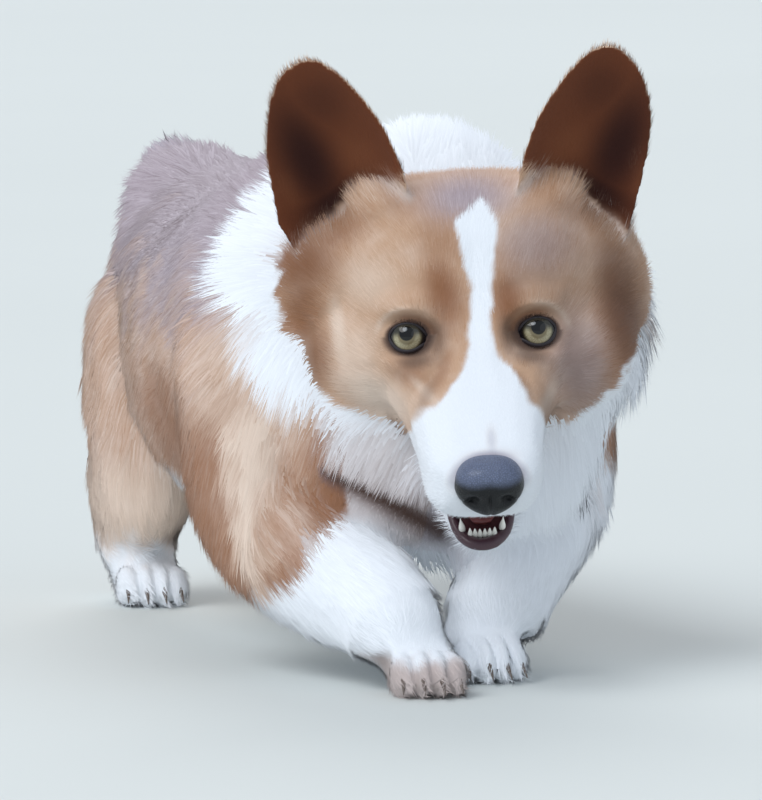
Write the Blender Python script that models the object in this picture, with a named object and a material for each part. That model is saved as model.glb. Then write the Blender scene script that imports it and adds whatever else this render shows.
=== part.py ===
"""Pembroke Welsh corgi, life size, in a low running crouch with its head turned and lowered.

The dog faces -Y, its left side is +X and the floor is at Z = 0. Sizes are in metres and reach
to the tips of the coat. Each group of the body (torso, head, each leg) is lofted and fused
whole, carved clear of its neighbours and then parted with thin cuts into its named nodes.
"""

import math

import bmesh
import bpy
from mathutils import Matrix, Vector

# Driving sizes
GAP = 0.0005                 # clearance between touching nodes
CHEST_HALF_WIDTH = 0.092
RIB_HALF_WIDTH = 0.093
RUMP_HALF_WIDTH = 0.063
WITHERS_TOP = 0.243
LOIN_TOP = 0.213
CROUP_TOP = 0.216
BRISKET = 0.052              # clearance under the chest
TAIL_STUB = 0.030

# The head's own frame starts midway between the eyes
EYE_POINT = (0.0120, -0.0030, 0.1580)
HEAD_YAW = math.radians(-13.0)
HEAD_PITCH = math.radians(32.0)
HEAD_ROLL = math.radians(3.2)
EYE_HALF_SPACING = 0.0283
EYE_RADIUS = 0.0105
EYE_BACK = 0.0037
EYE_DROP = 0.0018
EYE_GAZE = math.radians(38.0)    # how far above the muzzle's line the eyes look
NOSE_HALF_WIDTH = 0.0154
NOSE_HALF_HEIGHT = 0.0125
NOSE_DEPTH = 0.0115
NOSE_FORWARD = 0.0815
NOSE_DROP = 0.0212
NOSE_ASIDE = 0.0036              # the muzzle bends a little to the dog's left
MUZZLE_CUT = 0.020               # where the muzzle is parted from the head, before the eyes
EAR_LENGTH = 0.1010
EAR_ROOT_SHARE = 0.20            # how much of the ear's length lies below its seat
EAR_SEAT = (0.0500, 0.0420, 0.0330)
EAR_TURN_OUT = 9.0               # degrees: about the upright, away from the middle, and back
EAR_TILT_OUT = 13.0
EAR_RAKE = 17.0
EAR_WALL = 0.0045
EAR_EDGE = 0.0016
INCISOR_COUNT = 6
INCISOR_SPACING = 0.0021
INCISOR_RADIUS = 0.0010
CANINE_ASIDE = 0.0092
CANINE_RADIUS = 0.0019
TOOTH_HEIGHT = 0.0035
CANINE_HEIGHT = 0.0065

PAW_HALF_WIDTH = 0.0195
TOE_COUNT = 4
CLAW_LENGTH = 0.0060
CLAW_RADIUS = 0.0018
HIND_HALF_STANCE = 0.052
HIND_LEFT_AHEAD = 0.030

# How fine the fused bodies are
TORSO_TRIANGLES = 900
HEAD_TRIANGLES = 980
LEG_TRIANGLES = 380
TORSO_VOXEL = 0.0050
LIMB_VOXEL = 0.0032
FLAT_ANGLE = math.radians(0.8)

FAWN = (0.44, 0.25, 0.14)
SADDLE_GREY = (0.30, 0.24, 0.22)
WHITE_COAT = (0.82, 0.84, 0.85)
EAR_BROWN = (0.10, 0.045, 0.025)


# Materials

def finish(name, colour, roughness, metallic=0.0):
    material = bpy.data.materials.new(name)
    material.use_nodes = True
    surface = material.node_tree.nodes["Principled BSDF"]
    surface.inputs["Base Color"].default_value = (*colour, 1.0)
    surface.inputs["Roughness"].default_value = roughness
    surface.inputs["Metallic"].default_value = metallic
    material.diffuse_color = (*colour, 1.0)
    return material


# Shapes from rings

def between_rows(rows, steps):
    """The rows with smooth ones put between them, on a Catmull-Rom curve through each column."""
    padded = [rows[0], *rows, rows[-1]]
    finer = []
    for i in range(len(rows) - 1):
        before, start, end, after = padded[i:i + 4]
        for step in range(steps):
            t = step / steps
            finer.append(tuple(
                0.5 * (2 * b + (c - a) * t + (2 * a - 5 * b + 4 * c - d) * t * t
                       + (3 * b - a - 3 * c + d) * t ** 3)
                for a, b, c, d in zip(before, start, end, after)
            ))
    finer.append(tuple(rows[-1]))
    return finer


def round_ring(centre, side, up, sides, power):
    """Points of a superellipse; side and up are its half axes as vectors."""
    ring = []
    for k in range(sides):
        angle = 2 * math.pi * k / sides
        c, s = math.cos(angle), math.sin(angle)
        across = math.copysign(abs(c) ** (2 / power), c)
        rise = math.copysign(abs(s) ** (2 / power), s)
        ring.append(centre + side * across + up * rise)
    return ring


def skin_rings(mesh_name, rings):
    """A closed mesh over rings of like numbers of points, with a flat face on each end."""
    shape = bmesh.new()
    rows = [[shape.verts.new(point) for point in ring] for ring in rings]
    count = len(rows[0])
    for low, high in zip(rows, rows[1:]):
        for k in range(count):
            n = (k + 1) % count
            shape.faces.new((low[k], low[n], high[n], high[k]))
    shape.faces.new(rows[0])
    shape.faces.new(rows[-1])
    bmesh.ops.recalc_face_normals(shape, faces=shape.faces[:])
    mesh = bpy.data.meshes.new(mesh_name)
    shape.to_mesh(mesh)
    shape.free()
    return mesh


def section_loft(mesh_name, rows, sides=24, steps=3, power=2.2):
    """A body along Y. Each row is y, middle x, lowest z, highest z and half width."""
    rings = []
    for y, x, low, high, half in between_rows(rows, steps):
        centre = Vector((x, y, (low + high) / 2))
        up = Vector((0, 0, (high - low) / 2))
        rings.append(round_ring(centre, Vector((half, 0, 0)), up, sides, power))
    return skin_rings(mesh_name, rings)


def limb_loft(mesh_name, rows, sides=16, steps=4, power=2.0):
    """A limb along a path. Each row is x, y, z, half width and half depth, square to the path."""
    fine = between_rows(rows, steps)
    path = [Vector(row[:3]) for row in fine]
    rings = []
    for i, row in enumerate(fine):
        along = (path[min(i + 1, len(path) - 1)] - path[max(i - 1, 0)]).normalized()
        side = (Vector((1, 0, 0)) - along * along.x).normalized()
        depth = along.cross(side)
        rings.append(round_ring(path[i], side * row[3], depth * row[4], sides, power))
    return skin_rings(mesh_name, rings)


def ball(mesh_name, centre, radii, turn=(0, 0, 0), segments=20, rings=12):
    """An ellipsoid; turn is its rotation about X, Y and Z in degrees."""
    shape = bmesh.new()
    bmesh.ops.create_uvsphere(shape, u_segments=segments, v_segments=rings, radius=1)
    mesh = bpy.data.meshes.new(mesh_name)
    shape.to_mesh(mesh)
    shape.free()
    mesh.transform(Matrix.Diagonal((*radii, 1)))
    for degrees, axis in zip(turn, "XYZ"):
        mesh.transform(Matrix.Rotation(math.radians(degrees), 4, axis))
    mesh.transform(Matrix.Translation(centre))
    return mesh


def spike(mesh_name, foot, tip, radius, sides=5):
    """A blunt cone from foot to tip, for a tooth or a claw."""
    foot, tip = Vector(foot), Vector(tip)
    along = (tip - foot).normalized()
    side = along.orthogonal().normalized()
    up = along.cross(side)
    blunt = 0.3
    rings = [round_ring(foot, side * radius, up * radius, sides, 2),
             round_ring(tip, side * radius * blunt, up * radius * blunt, sides, 2)]
    return skin_rings(mesh_name, rings)


# Fusing, carving and parting

def place(name, mesh):
    node = bpy.data.objects.new(name, mesh)
    bpy.context.scene.collection.objects.link(node)
    return node


def joined(name, meshes):
    """One mesh of several, whose shapes may run through each other."""
    shape = bmesh.new()
    for mesh in meshes:
        shape.from_mesh(mesh)
    mesh = bpy.data.meshes.new(name)
    shape.to_mesh(mesh)
    shape.free()
    return mesh


def settled(node):
    """The node with its modifiers taken into its mesh."""
    graph = bpy.context.evaluated_depsgraph_get()
    mesh = bpy.data.meshes.new_from_object(node.evaluated_get(graph))
    node.modifiers.clear()
    node.data = mesh
    return node


def fused(name, meshes, voxel, relax, triangles):
    """One closed body from overlapping shapes, its creases relaxed, thinned to a triangle count."""
    node = place(name, joined(name, meshes))
    remesh = node.modifiers.new("Fuse", "REMESH")
    remesh.mode = "VOXEL"
    remesh.voxel_size = voxel
    relaxing = node.modifiers.new("Relax", "SMOOTH")
    relaxing.factor = 0.5
    relaxing.iterations = relax
    settled(node)
    thin = node.modifiers.new("Thin", "DECIMATE")
    thin.ratio = triangles / (2 * len(node.data.polygons))
    return settled(node)


def grown(node, by=GAP):
    """A cutter like the node, larger by a clearance all round."""
    mesh = node.data.copy()
    pushes = [vertex.normal * by for vertex in mesh.vertices]
    for vertex, push in zip(mesh.vertices, pushes):
        vertex.co += push
    cutter = place(node.name + "_cutter", mesh)
    cutter.hide_render = True
    cutter.display_type = "WIRE"
    return cutter


def largest_body(node):
    """The node without any loose scrap that a cut left."""
    shape = bmesh.new()
    shape.from_mesh(node.data)
    unseen = set(shape.verts)
    islands = []
    while unseen:
        queue = [unseen.pop()]
        island = list(queue)
        while queue:
            for edge in queue.pop().link_edges:
                for vertex in edge.verts:
                    if vertex in unseen:
                        unseen.remove(vertex)
                        queue.append(vertex)
                        island.append(vertex)
        islands.append(island)
    islands.sort(key=len)
    for island in islands[:-1]:
        bmesh.ops.delete(shape, geom=island, context="VERTS")
    bmesh.ops.triangulate(shape, faces=shape.faces[:])
    shape.to_mesh(node.data)
    shape.free()
    return node


def combined(node, tool, operation):
    step = node.modifiers.new(operation, "BOOLEAN")
    step.operation = operation
    step.solver = "EXACT"
    step.object = tool
    return settled(node)


def carved(node, *cutters):
    for cutter in cutters:
        combined(node, cutter, "DIFFERENCE")
    return largest_body(node)


def flat_faces_joined(node):
    """The node with its nearly flat neighbouring faces made one, which saves triangles."""
    shape = bmesh.new()
    shape.from_mesh(node.data)
    bmesh.ops.dissolve_limit(shape, angle_limit=FLAT_ANGLE,
                             verts=shape.verts[:], edges=shape.edges[:])
    bmesh.ops.triangulate(shape, faces=shape.faces[:])
    shape.to_mesh(node.data)
    shape.free()


def half_space(point, normal):
    """A large block whose one face passes through the point, on the side the normal points to."""
    reach = 0.8
    shape = bmesh.new()
    bmesh.ops.create_cube(shape, size=reach)
    mesh = bpy.data.meshes.new("half_space")
    shape.to_mesh(mesh)
    shape.free()
    normal = Vector(normal).normalized()
    block = place("half_space", mesh)
    turn = normal.to_track_quat("Z", "Y").to_matrix().to_4x4()
    mesh.transform(Matrix.Translation(Vector(point) + normal * reach / 2) @ turn)
    block.hide_render = True
    block.display_type = "WIRE"
    return block


def parted(whole, names, cuts):
    """The whole divided along its length by thin cuts, each a point and the way to the next part."""
    parts = []
    for i, name in enumerate(names):
        part = place(name, whole.data.copy())
        if i > 0:
            point, normal = cuts[i - 1]
            start = Vector(point) + Vector(normal).normalized() * GAP / 2
            carved(part, half_space(start, -Vector(normal)))
        if i < len(cuts):
            point, normal = cuts[i]
            end = Vector(point) - Vector(normal).normalized() * GAP / 2
            carved(part, half_space(end, normal))
        parts.append(part)
    bpy.data.objects.remove(whole)
    return parts


# Torso

def torso():
    """Chest, ribs, loin and rump in one loft, with the thick ruff and bib of the neck."""
    trunk = section_loft("trunk", (
        # y, middle, lowest, highest, half width
        (0.030, 0.004, 0.100, 0.170, 0.035),
        (0.050, 0.004, 0.072, 0.212, CHEST_HALF_WIDTH - 0.017),
        (0.090, 0.002, BRISKET + 0.004, 0.238, CHEST_HALF_WIDTH - 0.004),
        (0.140, 0.000, BRISKET, WITHERS_TOP, CHEST_HALF_WIDTH),
        (0.190, 0.000, BRISKET - 0.002, LOIN_TOP + 0.015, RIB_HALF_WIDTH),
        (0.240, -0.001, BRISKET - 0.004, LOIN_TOP + 0.004, RIB_HALF_WIDTH - 0.003),
        (0.290, -0.002, BRISKET + 0.006, LOIN_TOP, RIB_HALF_WIDTH - 0.014),
        (0.335, -0.006, BRISKET + 0.026, CROUP_TOP, RUMP_HALF_WIDTH + 0.002),
        (0.375, -0.011, BRISKET + 0.042, CROUP_TOP - 0.002, RUMP_HALF_WIDTH - 0.008),
        (0.399, -0.012, BRISKET + 0.064, CROUP_TOP - 0.020, 0.040),
        (0.408, -0.012, BRISKET + 0.098, CROUP_TOP - 0.048, 0.015),
    ))
    ruff = ball("ruff", (0.011, 0.066, 0.160), (0.105, 0.042, 0.080), turn=(-22, 0, -9))
    throat = ball("throat", (0.012, 0.052, 0.118), (0.080, 0.042, 0.062), turn=(-15, 0, -8))
    bib = ball("bib", (0.014, 0.054, 0.090), (0.072, 0.040, 0.042))
    nape = ball("nape", (0.012, 0.088, 0.195), (0.058, 0.060, 0.055), turn=(-8, 0, 0))
    croup = ball("croup", (-0.024, 0.360, 0.191), (0.037, 0.044, 0.031), turn=(8, 0, 0))
    return fused("torso", (trunk, ruff, throat, bib, nape, croup), TORSO_VOXEL, 6, TORSO_TRIANGLES)


def tail():
    """The short stub above the rump."""
    stub = limb_loft("tail", (
        (-0.022, 0.380, 0.190, 0.016, 0.014),
        (-0.024, 0.392, 0.201, 0.020, 0.017),
        (-0.025, 0.392 + TAIL_STUB * 0.5, 0.210, 0.017, 0.014),
        (-0.026, 0.392 + TAIL_STUB * 0.7, 0.216, 0.006, 0.006),
    ), sides=12, steps=2)
    return place("tail", stub)


# Head

def head_frame():
    """Turns and moves what is drawn facing -Y about the eyes into the head's lowered pose."""
    roll = Matrix.Rotation(-HEAD_ROLL, 4, "Y")
    pitch = Matrix.Rotation(HEAD_PITCH, 4, "X")
    yaw = Matrix.Rotation(HEAD_YAW, 4, "Z")
    return Matrix.Translation(EYE_POINT) @ yaw @ pitch @ roll


def skull_shape():
    """Forehead, stop, muzzle and cheeks; the right cheek's fur stands out a little further."""
    profile = section_loft("skull", (
        # y, middle, lowest, highest, half width
        (0.095, 0, -0.020, 0.012, 0.028),
        (0.085, 0, -0.042, 0.027, 0.044),
        (0.070, 0, -0.056, 0.042, 0.055),
        (0.055, 0, -0.061, 0.048, 0.061),
        (0.040, 0, -0.061, 0.047, 0.063),
        (0.025, 0, -0.058, 0.038, 0.060),
        (0.010, 0, -0.053, 0.024, 0.052),
        (-0.003, 0, -0.048, 0.013, 0.044),
        (-0.018, 0, -0.043, 0.006, 0.037),
        (-0.032, 0, -0.040, 0.001, 0.032),
        (-0.050, NOSE_ASIDE * 0.15, -0.0385, -0.004, 0.0292),
        (-0.065, NOSE_ASIDE * 0.35, -0.037, -0.008, 0.0268),
        (-0.077, NOSE_ASIDE * 0.60, -0.036, -0.012, 0.0230),
        (-0.086, NOSE_ASIDE * 0.95, -0.033, -0.018, 0.0148),
    ), sides=28, power=2.8)
    bumps = [profile]
    for side, fluff in ((-1, 0.0065), (1, 0.0)):
        bumps.append(ball("cheek", (side * 0.044, 0.028, -0.026), (0.031, 0.036, 0.034)))
        bumps.append(ball("cheek_ruff", (side * (0.047 + fluff / 2), 0.047, -0.012),
                          (0.036 + fluff / 2, 0.030, 0.042)))
        bumps.append(ball("brow", (side * 0.026, 0.009, 0.011), (0.017, 0.016, 0.009)))
        bumps.append(ball("ear_base", (side * 0.035, 0.050, 0.039), (0.017, 0.015, 0.010)))
        bumps.append(ball("lip", (side * 0.014 + NOSE_ASIDE * 0.3, -0.062, -0.030), (0.0135, 0.024, 0.0115)))
    return bumps


def eyeball(side, clearance=0.0):
    radius = EYE_RADIUS + clearance
    centre = (side * EYE_HALF_SPACING, EYE_BACK, -EYE_DROP)
    return ball("eye", centre, (radius,) * 3, segments=12, rings=8)


def eye_opening(side):
    """A small round hollow that bares the front of the eyeball between the lids."""
    gaze = Vector((side * 0.15, -math.cos(EYE_GAZE), math.sin(EYE_GAZE)))
    centre = Vector((side * EYE_HALF_SPACING, EYE_BACK, -EYE_DROP)) + gaze * EYE_RADIUS * 0.75
    return ball("opening", centre, (EYE_RADIUS * 0.84,) * 3, segments=10, rings=6)


def nose_pad(clearance=0.0):
    """The nose leather: broad on top, narrow under the nostrils."""
    mesh = ball("nose", (0, 0, 0), (1, 1, 1), segments=14, rings=8)
    for vertex in mesh.vertices:
        x, y, z = vertex.co
        narrowing = 1.0 - 0.28 * max(0.0, -z)
        vertex.co = (x * narrowing * (NOSE_HALF_WIDTH + clearance),
                     y * (NOSE_DEPTH + clearance), z * (NOSE_HALF_HEIGHT + clearance))
    mesh.transform(Matrix.Translation((NOSE_ASIDE, -NOSE_FORWARD, -NOSE_DROP)))
    return mesh


def jaw_shape():
    """The lower jaw, dropped a little at its front, so the mouth stands open."""
    return section_loft("jaw", (
        # y, middle, lowest, highest, half width
        (0.010, 0, -0.064, -0.046, 0.0260),
        (-0.005, 0, -0.065, -0.044, 0.0265),
        (-0.020, 0, -0.0655, -0.045, 0.0245),
        (-0.035, 0, -0.066, -0.047, 0.0215),
        (-0.050, 0, -0.0665, -0.0505, 0.0180),
        (-0.061, 0, -0.0665, -0.0535, 0.0152),
        (-0.069, 0, -0.0660, -0.0560, 0.0112),
        (-0.0735, 0, -0.0640, -0.0580, 0.0060),
    ), sides=16, steps=1)


def tongue_shape():
    return section_loft("tongue", (
        # y, middle, lowest, highest, half width
        (-0.0280, 0, -0.0447, -0.0437, 0.0040),
        (-0.0340, 0, -0.0463, -0.0438, 0.0095),
        (-0.0440, 0, -0.0485, -0.0455, 0.0110),
        (-0.0540, 0, -0.0507, -0.0480, 0.0090),
        (-0.0605, 0, -0.0522, -0.0502, 0.0045),
    ), sides=12, steps=1)


def lower_teeth():
    """Six incisors in a shallow arc and a canine at each end, joined to the jaw."""
    front, foot_z, bow = 0.0680, -0.0572, 9.0
    teeth = []
    for k in range(INCISOR_COUNT):
        across = (k - (INCISOR_COUNT - 1) / 2) * INCISOR_SPACING
        back = front - bow * across ** 2
        foot = (across, -back, foot_z)
        tip = (across * 1.05, -back - 0.0010, foot_z + 0.0017 + TOOTH_HEIGHT)
        teeth.append(spike("incisor", foot, tip, INCISOR_RADIUS))
    for side in (-1, 1):
        foot = (side * CANINE_ASIDE, -0.0640, foot_z + 0.0007)
        tip = (side * (CANINE_ASIDE + 0.0012), -0.0655, foot_z + 0.0032 + CANINE_HEIGHT)
        teeth.append(spike("canine", foot, tip, CANINE_RADIUS))
    return teeth


def ear_shape(side):
    """An upright cup with a rounded tip, open to the front and a little to its own side."""
    rows = {-1: (
        # share of length, reach outwards, reach inwards, depth of the cup
        (0.00, 0.0235, 0.0190, 0.0190),
        (0.12, 0.0300, 0.0240, 0.0200),
        (0.28, 0.0340, 0.0280, 0.0190),
        (0.40, 0.0330, 0.0284, 0.0170),
        (0.52, 0.0317, 0.0272, 0.0148),
        (0.64, 0.0295, 0.0250, 0.0120),
        (0.76, 0.0258, 0.0206, 0.0090),
        (0.86, 0.0212, 0.0157, 0.0062),
        (0.93, 0.0163, 0.0112, 0.0042),
        (0.975, 0.0108, 0.0066, 0.0026),
        (1.00, 0.0045, 0.0030, 0.0012),
    ), 1: (
        (0.00, 0.0205, 0.0200, 0.0190),
        (0.12, 0.0248, 0.0262, 0.0200),
        (0.28, 0.0256, 0.0304, 0.0190),
        (0.40, 0.0260, 0.0305, 0.0170),
        (0.52, 0.0264, 0.0294, 0.0148),
        (0.64, 0.0255, 0.0271, 0.0120),
        (0.76, 0.0229, 0.0223, 0.0090),
        (0.86, 0.0178, 0.0175, 0.0062),
        (0.93, 0.0124, 0.0127, 0.0042),
        (0.975, 0.0068, 0.0084, 0.0026),
        (0.995, 0.0018, 0.0048, 0.0012),
    )}[side]
    across_count = 6
    rings = []
    for share, outwards, inwards, cup in rows:
        wall = min(EAR_WALL, cup * 0.6)
        middle, half = side * (outwards - inwards) / 2, (outwards + inwards) / 2
        height = (share - EAR_ROOT_SHARE) * EAR_LENGTH
        back, front = [], []
        for k in range(across_count + 1):
            t = 2 * k / across_count - 1
            bow = 1 - t * t
            x = half * t + middle
            back.append(Vector((x, cup * bow + EAR_EDGE / 2, height)))
            front.append(Vector((x, (cup - wall) * bow - EAR_EDGE / 2, height)))
        rings.append(back + front[::-1])
    mesh = skin_rings("ear", rings)
    mesh.transform(Matrix.Rotation(math.radians(side * EAR_TURN_OUT), 4, "Z"))
    mesh.transform(Matrix.Rotation(math.radians(side * EAR_TILT_OUT), 4, "Y"))
    mesh.transform(Matrix.Rotation(math.radians(-EAR_RAKE), 4, "X"))
    mesh.transform(Matrix.Translation((side * EAR_SEAT[0], EAR_SEAT[1], EAR_SEAT[2])))
    return mesh


def build_head(body):
    """The head with its sockets, mouth and nose seat, seated in the ruff of the body."""
    frame = head_frame()

    def posed(mesh):
        mesh.transform(frame)
        return mesh

    whole = fused("skull", [posed(mesh) for mesh in skull_shape()], LIMB_VOXEL, 5, HEAD_TRIANGLES)
    jaw = place("lower_jaw", posed(jaw_shape()))
    teeth = place("lower_teeth", joined("teeth", [posed(mesh) for mesh in lower_teeth()]))
    head_cutter, jaw_cutter = grown(whole), grown(jaw)
    carved(body, head_cutter, jaw_cutter)
    cutters = [jaw_cutter]
    for side in (-1, 1):
        cutters.append(place("socket", posed(eyeball(side, GAP))))
        cutters.append(place("opening", posed(eye_opening(side))))
    cutters.append(place("nose_seat", posed(nose_pad(GAP))))
    for cutter in cutters[1:]:
        cutter.hide_render = True
        cutter.display_type = "WIRE"
    carved(whole, *cutters)
    combined(jaw, teeth, "UNION")
    bpy.data.objects.remove(teeth)

    cut_at = frame @ Vector((0, -MUZZLE_CUT, 0))
    forward = frame.to_3x3() @ Vector((0, -1, 0))
    parts = parted(whole, ("head", "muzzle"), [(cut_at, forward)])
    parts.append(jaw)
    parts.append(place("tongue", posed(tongue_shape())))
    parts.append(place("nose", posed(nose_pad())))
    for side, word in ((-1, "right"), (1, "left")):
        parts.append(place("eye_" + word, posed(eyeball(side))))
        ear = place("ear_" + word, posed(ear_shape(side)))
        parts.append(carved(ear, head_cutter, grown(body)))
    return parts


# Legs

def paw_shapes(x, y, toe_out):
    """A paw standing on the floor, its toes spread towards -Y; toe_out turns it, in degrees."""
    shapes = [ball("pad", (0, 0.010, 0.0125), (PAW_HALF_WIDTH * 0.92, 0.024, 0.0165))]
    for k in range(TOE_COUNT):
        across = (k - (TOE_COUNT - 1) / 2) / (TOE_COUNT / 2)
        reach = -0.0150 + 0.010 * across ** 2
        shapes.append(ball("toe", (across * PAW_HALF_WIDTH * 0.82, reach, 0.0095),
                           (0.0072, 0.0145, 0.0120), turn=(10, 0, across * 14)))
    seat = Matrix.Translation((x, y, 0)) @ Matrix.Rotation(math.radians(toe_out), 4, "Z")
    for mesh in shapes:
        mesh.transform(seat)
    return shapes


def claws(x, y, toe_out):
    """Four short claws that leave the toes just above the floor."""
    seat = Matrix.Translation((x, y, 0)) @ Matrix.Rotation(math.radians(toe_out), 4, "Z")
    spikes = []
    for k in range(TOE_COUNT):
        across = (k - (TOE_COUNT - 1) / 2) / (TOE_COUNT / 2)
        reach = -0.0260 + 0.010 * across ** 2
        foot = (across * PAW_HALF_WIDTH * 0.84, reach, 0.0095)
        tip = (across * PAW_HALF_WIDTH * 0.92, reach - CLAW_LENGTH, 0.0035)
        mesh = spike("claw", foot, tip, CLAW_RADIUS)
        mesh.transform(seat)
        spikes.append(mesh)
    return joined("claws", spikes)


def build_leg(prefix, word, limb_rows, paw_at, toe_out, cuts, torso_cutter):
    """One leg, fused with its paw, cut flat by the floor and parted at its two lower joints."""
    limb = limb_loft("limb", limb_rows)
    whole = fused("leg", [limb, *paw_shapes(*paw_at, toe_out)], LIMB_VOXEL, 3, LEG_TRIANGLES)
    carved(whole, torso_cutter, half_space((0, 0, 0), (0, 0, -1)))
    names = [f"{prefix}_{part}_{word}" for part in ("upper", "lower", "paw")]
    upper, lower, paw = parted(whole, names, cuts)
    spikes = place("claws", claws(*paw_at, toe_out))
    combined(paw, spikes, "UNION")
    bpy.data.objects.remove(spikes)
    largest_body(paw)
    return [upper, lower, paw]


def build_legs(torso_cutter):
    """The forelegs close to one line under the head; the hind legs stand wide and bent."""
    parts = build_leg("fore", "right", (
        # x, y, z, half width, half depth
        (-0.066, 0.110, 0.172, 0.020, 0.024),
        (-0.070, 0.102, 0.150, 0.029, 0.040),
        (-0.069, 0.092, 0.115, 0.031, 0.044),
        (-0.065, 0.078, 0.077, 0.031, 0.042),
        (-0.048, 0.048, 0.053, 0.028, 0.035),
        (-0.031, 0.016, 0.040, 0.026, 0.029),
        (-0.024, -0.005, 0.028, 0.0235, 0.0225),
        (-0.021, -0.012, 0.019, 0.0190, 0.016),
    ), (-0.0155, -0.021), -6, [
        ((-0.055, 0.062, 0.068), (0.45, -0.75, -0.35)),
        ((-0.023, 0.004, 0.038), (0.30, -0.70, -0.60)),
    ], torso_cutter)
    parts += build_leg("fore", "left", (
        (0.072, 0.110, 0.172, 0.020, 0.024),
        (0.078, 0.104, 0.150, 0.028, 0.039),
        (0.078, 0.096, 0.115, 0.029, 0.041),
        (0.073, 0.084, 0.080, 0.030, 0.038),
        (0.057, 0.064, 0.060, 0.029, 0.034),
        (0.043, 0.047, 0.045, 0.027, 0.030),
        (0.035, 0.036, 0.032, 0.025, 0.025),
        (0.031, 0.031, 0.021, 0.021, 0.018),
    ), (0.0225, 0.024), 4, [
        ((0.065, 0.072, 0.070), (-0.45, -0.70, -0.45)),
        ((0.032, 0.034, 0.038), (-0.30, -0.55, -0.70)),
    ], torso_cutter)
    for side, word, ahead in ((-1, "right", 0.0), (1, "left", HIND_LEFT_AHEAD)):
        stance = side * HIND_HALF_STANCE
        parts += build_leg("hind", word, (
            (stance - side * 0.016, 0.352 - ahead, 0.170, 0.022, 0.036),
            (stance - side * 0.007, 0.350 - ahead, 0.144, 0.034, 0.052),
            (stance - side * 0.001, 0.340 - ahead, 0.110, 0.035, 0.056),
            (stance + side * 0.002, 0.344 - ahead, 0.076, 0.030, 0.045),
            (stance + side * 0.002, 0.364 - ahead, 0.052, 0.025, 0.033),
            (stance + side * 0.001, 0.376 - ahead, 0.036, 0.021, 0.024),
            (stance, 0.368 - ahead, 0.023, 0.020, 0.019),
            (stance, 0.362 - ahead, 0.016, 0.016, 0.014),
        ), (stance, 0.352 - ahead), side * 5, [
            ((stance + side * 0.002, 0.350 - ahead, 0.070), (0, 0.35, -1)),
            ((stance, 0.372 - ahead, 0.034), (0, -0.15, -1)),
        ], torso_cutter)
    return parts


# The whole dog

def centred(nodes):
    """Moves the dog so that the middle of its box stands over the origin."""
    corners = [vertex.co for node in nodes for vertex in node.data.vertices]
    middle_x = (min(c.x for c in corners) + max(c.x for c in corners)) / 2
    middle_y = (min(c.y for c in corners) + max(c.y for c in corners)) / 2
    for node in nodes:
        node.data.transform(Matrix.Translation((-middle_x, -middle_y, 0)))


def colour(nodes):
    """Each node's own finish: white fore parts, fawn body, grey saddle, dark ears and leather."""
    skins = {
        "neck": WHITE_COAT, "muzzle": WHITE_COAT, "lower_jaw": WHITE_COAT,
        "loin": SADDLE_GREY, "tail": SADDLE_GREY,
        "ear_left": EAR_BROWN, "ear_right": EAR_BROWN,
        "nose": (0.03, 0.035, 0.045), "tongue": (0.45, 0.13, 0.13),
        "eye_left": (0.16, 0.14, 0.09), "eye_right": (0.16, 0.14, 0.09),
    }
    wet = ("nose", "tongue", "eye_left", "eye_right")
    for node in nodes:
        white_leg = "_paw_" in node.name or node.name.startswith("fore_lower")
        default = WHITE_COAT if white_leg else FAWN
        roughness = 0.25 if node.name in wet else 0.85
        node.data.materials.clear()
        tone = skins.get(node.name, default)
        node.data.materials.append(finish(node.name + "_finish", tone, roughness))
        node.data.shade_smooth()


def main():
    for old in list(bpy.data.objects):
        bpy.data.objects.remove(old, do_unlink=True)
    body = torso()
    stub = tail()
    nodes = build_head(body)
    torso_cutter = grown(body)
    carved(stub, torso_cutter)
    nodes += build_legs(torso_cutter)
    nodes.append(stub)
    nodes += parted(body, ("neck", "chest", "loin", "rump"), [
        ((0.0, 0.082, 0.150), (0.0, 1.0, -0.25)),
        ((0.0, 0.190, 0.140), (0.0, 1.0, 0.0)),
        ((0.0, 0.302, 0.140), (0.0, 1.0, 0.0)),
    ])
    for node in nodes:
        flat_faces_joined(node)
    centred(nodes)
    colour(nodes)
    for leftover in [item for item in bpy.data.objects if item not in nodes]:
        bpy.data.objects.remove(leftover)


if __name__ == "__main__":
    main()
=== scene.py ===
# %% [markdown]
# # Pembroke Welsh corgi in a low running crouch
# A life-size museum model: one skin over the whole body, a coat of solid tufts that follows
# its lie, and separate eyes, nose, lips, teeth, tongue and claws. The dog faces -Y, its left
# side is +X, and the floor is at Z = 0. All sizes are metres unless a name says otherwise.

# %% Load the frame
import math

import bmesh
import bpy
import numpy as np
from mathutils import Matrix, Vector
from mathutils.bvhtree import BVHTree


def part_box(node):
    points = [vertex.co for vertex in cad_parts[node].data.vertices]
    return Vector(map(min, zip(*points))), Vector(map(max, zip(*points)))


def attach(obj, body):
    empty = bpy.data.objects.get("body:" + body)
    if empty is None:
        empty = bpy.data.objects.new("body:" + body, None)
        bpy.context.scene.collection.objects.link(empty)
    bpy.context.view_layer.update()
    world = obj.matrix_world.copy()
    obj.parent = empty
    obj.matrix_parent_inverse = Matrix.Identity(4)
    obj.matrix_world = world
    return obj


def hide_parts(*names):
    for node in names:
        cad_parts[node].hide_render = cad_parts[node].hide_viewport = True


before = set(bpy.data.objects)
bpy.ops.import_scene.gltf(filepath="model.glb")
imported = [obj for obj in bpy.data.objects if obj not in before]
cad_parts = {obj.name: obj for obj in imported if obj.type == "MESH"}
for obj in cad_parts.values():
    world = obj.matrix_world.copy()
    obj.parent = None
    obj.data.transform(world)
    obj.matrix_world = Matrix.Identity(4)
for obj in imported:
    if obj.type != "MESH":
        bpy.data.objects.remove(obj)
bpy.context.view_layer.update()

MM = 0.001
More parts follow.
